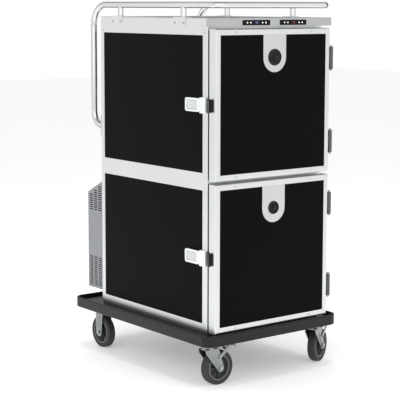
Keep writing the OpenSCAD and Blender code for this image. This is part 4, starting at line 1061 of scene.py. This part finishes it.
@dataclass
class Trolley:
    """The dressed trolley: softened solids and the small parts that are fitted to them."""

    doors: tuple[tuple[str, float, float, float, float], ...] = (
        ("upper", 877.0, 1504.0, 1384.0, 34.0),
        ("lower", 235.0, 864.0, 744.0, 27.0),
    )

    def build(self) -> None:
        """Builds every visual piece."""
        self.soften()
        for door in self.doors:
            self.finish_door(*door)
        Controller("cold", -102.0, "40", COLD_WINDOW, COLD_DIGIT).build()
        Controller("hot", 102.0, "75", HOT_WINDOW, HOT_DIGIT).build()
        CastorWheels().build()
        GreaseNipples().build()
        LatchCatch().build()
        self.add_screws()

    def soften(self) -> None:
        """Breaks the edges of the metal parts."""
        for node, width in SOFTENED.items():
            BrokenEdges(node, width).build()
        self.soften_and_shade_unit()
        bumper = BrokenEdges("bumper_tray", 0.6).build()
        # The top of its floor lies under 212 mm, the rim's over it; the floor is painted lighter grey, a
        # painted reflection of the white surroundings
        paint(bumper, BUMPER_FLOOR_PAINTED_REFLECTION, lambda middle, normal: normal.z > FACING and middle.z < 212.0)

    def soften_and_shade_unit(self) -> None:
        """Breaks the edges of the unit's cover and paints its inner faces and the slots' cut edges black:
        painted shade that keeps the slots dark.
        """
        heart = Vector((0.0, 407.0, 510.0))
        # Within the cover's sheet, at its sides and at its back
        side_x, rear_y = (315.2, 316.8), (463.2, 464.8)

        def is_in_painted_shade(middle: Vector, normal: Vector) -> bool:
            in_side = side_x[0] < abs(middle.x) < side_x[1] and abs(normal.x) < 0.5 and middle.y < 462.0
            in_rear = rear_y[0] < middle.y < rear_y[1] and abs(normal.y) < 0.5 and abs(middle.x) < 300.0
            return in_side or in_rear or (middle - heart).dot(normal) < 0.0

        # Black painted shade on the inner faces and on the slots' cut edges
        paint(BrokenEdges("unit_cover", 0.25).build(), SLOT_SHADE_LINING, is_in_painted_shade)

    def finish_door(self, door: str, z0: float, z1: float, vent_z: float, vent_r: float) -> None:
        """Finishes one door: mitred frame, vent, latch paddle.

        Args:
            door: The door's name.
            z0: Its lower edge.
            z1: Its upper edge.
            vent_z: Height of the vent's centre.
            vent_r: Radius of the vent's ring.
        """
        mitred = MitredFrame(f"{door}_door_frame", 0.4, z0=z0, z1=z1)
        paint(mitred.build(), ANODISED_CROSSWISE, mitred.is_level)
        plate = BrokenEdges(f"{door}_vent_plate", 0.3).build()
        # The ring and the pin in front of the plate belong to the vent
        paint(plate, BLACK_POLYAMIDE, lambda middle, normal: middle.y < -494.8)
        Vent(door, vent_z, vent_r).build()
        paddle = RibbedPaddle(f"{door}_paddle", 0.6).build()
        # The sunk field of the paddle: its span in x and in y, and half its height
        x, y, half, paddle_z = (-329.5, -322.6), (-385.5, -312.5), 21.5, (z0 + z1) / 2

        def is_sunk(middle: Vector, normal: Vector) -> bool:
            in_x, in_y = x[0] < middle.x < x[1], y[0] < middle.y < y[1]
            return in_x and in_y and abs(middle.z - paddle_z) < half

        paint(paddle, SATIN_CASTING, is_sunk)

    def add_screws(self) -> None:
        """Fits the pan-head screws."""
        ways = {-1: "-x", 1: "+x"}
        small = PanHead(3.2, 1.2)
        places = [looking(ways[s], s * CABINET_X, y, 1488.0) for s in BOTH_SIDES for y in (-421.0, 327.0)]
        small.build("frame_screws", places)
        for door, z0, z1, _, _ in self.doors:
            levels = (z1 - 13.5, z0 + 13.5)
            places = [looking("-y", s * 209.0, DOOR_FACE_Y, z) for z in levels for s in BOTH_SIDES]
            small.build(f"{door}_door_screws", places, f"{door}_door")
        levels = [z for _, z0, z1, _, _ in self.doors for z in (z0 + 131.0, z1 - 131.0)]
        places = [looking("+x", 322.5, -424.0, z + up) for z in levels for up in (-32.0, 0.0, 32.0)]
        PanHead(3.6, 1.4).build("hinge_screws", places)
        spots = [y + along for y in (216.0, -250.0) for along in (-30.5, 30.5)]
        places = [looking(ways[s], s * 320.0, y, 1528.0) for s in BOTH_SIDES for y in spots]
        PanHead(4.6, 2.3).build("bracket_screws", places)
        bolts = BrokenEdges("fasteners", 0.5).build()
        edit_faces(bolts, lambda middle, normal: middle.z > 1.0)
        bpy.ops.mesh.delete(type="FACE")
        leave_edit_mode()
        # The bolts at the handles, over 1 m, show as screws instead
        places = [looking("+y", s * 294.0, 354.0, 1050.0 + up) for s in BOTH_SIDES for up in (-36.0, 36.0)]
        PanHead(5.0, 2.4).build("handle_screws", places)
        places = [looking("+y", s * 300.0, UNIT_Y, z) for s in BOTH_SIDES for z in (300.0, 508.0, 716.0)]
        PanHead(3.6, 1.5).build("unit_screws", places)


# ---- studio


@dataclass
class Studio:
    """The pale floor, the soft light and the camera of the picture."""

    eye: tuple[float, float, float] = (-3.6917, -4.7362, 1.6027)
    heading: float = 0.6603
    pitch: float = -0.1222
    roll: float = 0.0020
    focal_px: float = 1329.5
    frame_px: int = 400
    horizon_px: float = 168.0

    def build(self) -> None:
        """Adds the camera, the lights, the surroundings and the floor."""
        self.add_camera()
        self.add_world()
        self.add_lights()
        self.add_floor()

    def add_camera(self) -> None:
        """Places the camera as the photograph was taken."""
        lens = bpy.data.cameras.new("camera")
        lens.lens = self.focal_px * lens.sensor_width / self.frame_px
        lens.shift_y = self.horizon_px / self.frame_px - 0.5
        camera = bpy.data.objects.new("camera", lens)
        turn = (
            Matrix.Rotation(-self.heading, 4, "Z")
            @ Matrix.Rotation(math.pi / 2 + self.pitch, 4, "X")
            @ Matrix.Rotation(self.roll, 4, "Z")
        )
        camera.matrix_world = Matrix.Translation(self.eye) @ turn
        bpy.context.scene.collection.objects.link(camera)
        bpy.context.scene.camera = camera

    def add_world(self) -> None:
        """Adds the surroundings of a white studio, as bright metal needs them.

        They brighten upwards, to the sides and behind the camera, and are held back at the rear
        right and overhead. The camera itself sees plain white.
        """
        world = bpy.data.worlds.new("studio")
        world.use_nodes = True
        tree = world.node_tree
        tree.nodes.clear()
        ray = add_node(tree, "TexCoord").outputs["Generated"]
        height = add_node(tree, "SeparateXYZ", None, {0: ray}).outputs[2]
        across = self.along(tree, ray, (0.61, -0.79, 0.0))
        sides = add_node(tree, "Math", {"operation": "ABSOLUTE"}, {0: across}).outputs[0]
        camera_side = self.along(tree, ray, (-0.61, -0.79, 0.0))
        rear_right = self.along(tree, ray, (0.819, 0.574, 0.0))
        level = add_node(tree, "MapRange", {1: -0.1, 2: 0.2, 3: 0.66, 4: 0.74}, {0: height}).outputs[0]
        soft = {"interpolation_type": "SMOOTHSTEP"}
        for operation, source, spans in (
            ("ADD", height, {1: 0.2, 2: 1.0, 3: 0.0, 4: 0.45}),
            ("ADD", sides, soft | {1: 0.84, 2: 0.98, 3: 0.0, 4: 0.34}),
            ("ADD", camera_side, soft | {1: 0.40, 2: 0.80, 3: 0.0, 4: 0.6}),
            ("MULTIPLY", rear_right, soft | {1: 0.70, 2: 0.90, 3: 1.0, 4: 0.22}),
            ("MULTIPLY", height, soft | {1: 0.55, 2: 0.85, 3: 1.0, 4: 0.40}),
        ):
            part = add_node(tree, "MapRange", spans, {0: source}).outputs[0]
            level = add_node(tree, "Math", {"operation": operation}, {0: level, 1: part}).outputs[0]
        white = {"Color": (1.0, 1.0, 1.0, 1.0)}
        lit = add_node(tree, "Background", white, {"Strength": level}).outputs[0]
        plain = add_node(tree, "Background", white).outputs[0]
        seen = add_node(tree, "LightPath").outputs["Is Camera Ray"]
        surface = add_node(tree, "MixShader", None, {0: seen, 1: lit, 2: plain}).outputs[0]
        add_node(tree, "OutputWorld", None, {"Surface": surface})
        bpy.context.scene.world = world
        bpy.context.scene.view_settings.view_transform = "Standard"

    @staticmethod
    def along(tree: Tree, ray: Socket, way: tuple[float, float, float]) -> Socket:
        """The cosine of the angle between a ray and a unit vector."""
        dot = {"operation": "DOT_PRODUCT", 1: way}
        return add_node(tree, "VectorMath", dot, {0: ray}).outputs["Value"]

    def add_lights(self) -> None:
        """Adds large soft boxes: one to the left, one in front, one overhead and a weak one behind."""
        self.add_box("left_box", (-4.0, -1.2, 2.6), 0.9, 2.4, 30.0)
        self.add_box("front_box", (0.8, -4.6, 2.4), 0.9, 2.2, 16.0)
        self.add_box("top_box", (0.0, 0.0, 4.6), 0.0, 2.6, 60.0)
        self.add_box("rear_box", (1.8, 4.2, 2.6), 0.8, 2.2, 25.0)

    @staticmethod
    def add_box(name: str, place: Sequence[float], aim_z: float, side: float, power: float) -> None:
        """Adds one square soft box.

        Args:
            name: The light's name.
            place: Its middle.
            aim_z: Height of the point that it faces, over the origin.
            side: Its side length.
            power: Its power in watts.
        """
        light = bpy.data.lights.new(name, "AREA")
        light.shape = "SQUARE"
        light.size = side
        light.energy = power
        thing = bpy.data.objects.new(name, light)
        thing.location = place
        thing.visible_glossy = False
        way = Vector((0.0, 0.0, aim_z)) - Vector(place)
        thing.rotation_euler = way.to_track_quat("-Z", "Y").to_euler()
        bpy.context.scene.collection.objects.link(thing)

    @staticmethod
    def add_floor() -> None:
        """Adds the pale floor, wide enough to have no edge in the picture."""
        floor = add_shape(bpy.ops.mesh.primitive_plane_add, "studio_floor", size=40.0)
        pale = bpy.data.materials.new("pale_studio_floor")
        pale.use_nodes = True
        settings = {
            "Base Color": linear("#fafafa"),
            "Roughness": 0.9,
            "Specular IOR Level": 0.0,
            "Emission Color": linear("#ffffff"),
            "Emission Strength": 0.26,
        }
        for name, value in settings.items():
            pale.node_tree.nodes["Principled BSDF"].inputs[name].default_value = value
        floor.data.materials.append(pale)


# ---- assembly


def dress_nodes() -> None:
    """Gives each solid of the frame its finish."""
    for name, finish in CAD_FINISHES.items():
        thing = frame["nodes"][name]
        thing.data.materials.clear()
        thing.data.materials.append(finish.material())
        for face in thing.data.polygons:
            face.material_index = 0
    LOG.info("dressed %d solids", len(CAD_FINISHES))


def main() -> None:
    """Builds the picture piece by piece and keeps the sizes."""
    logging.basicConfig(level=logging.INFO, format="%(name)s: %(message)s")
    Studio().build()
    dress_nodes()
    Trolley().build()


if __name__ == "__main__":
    main()
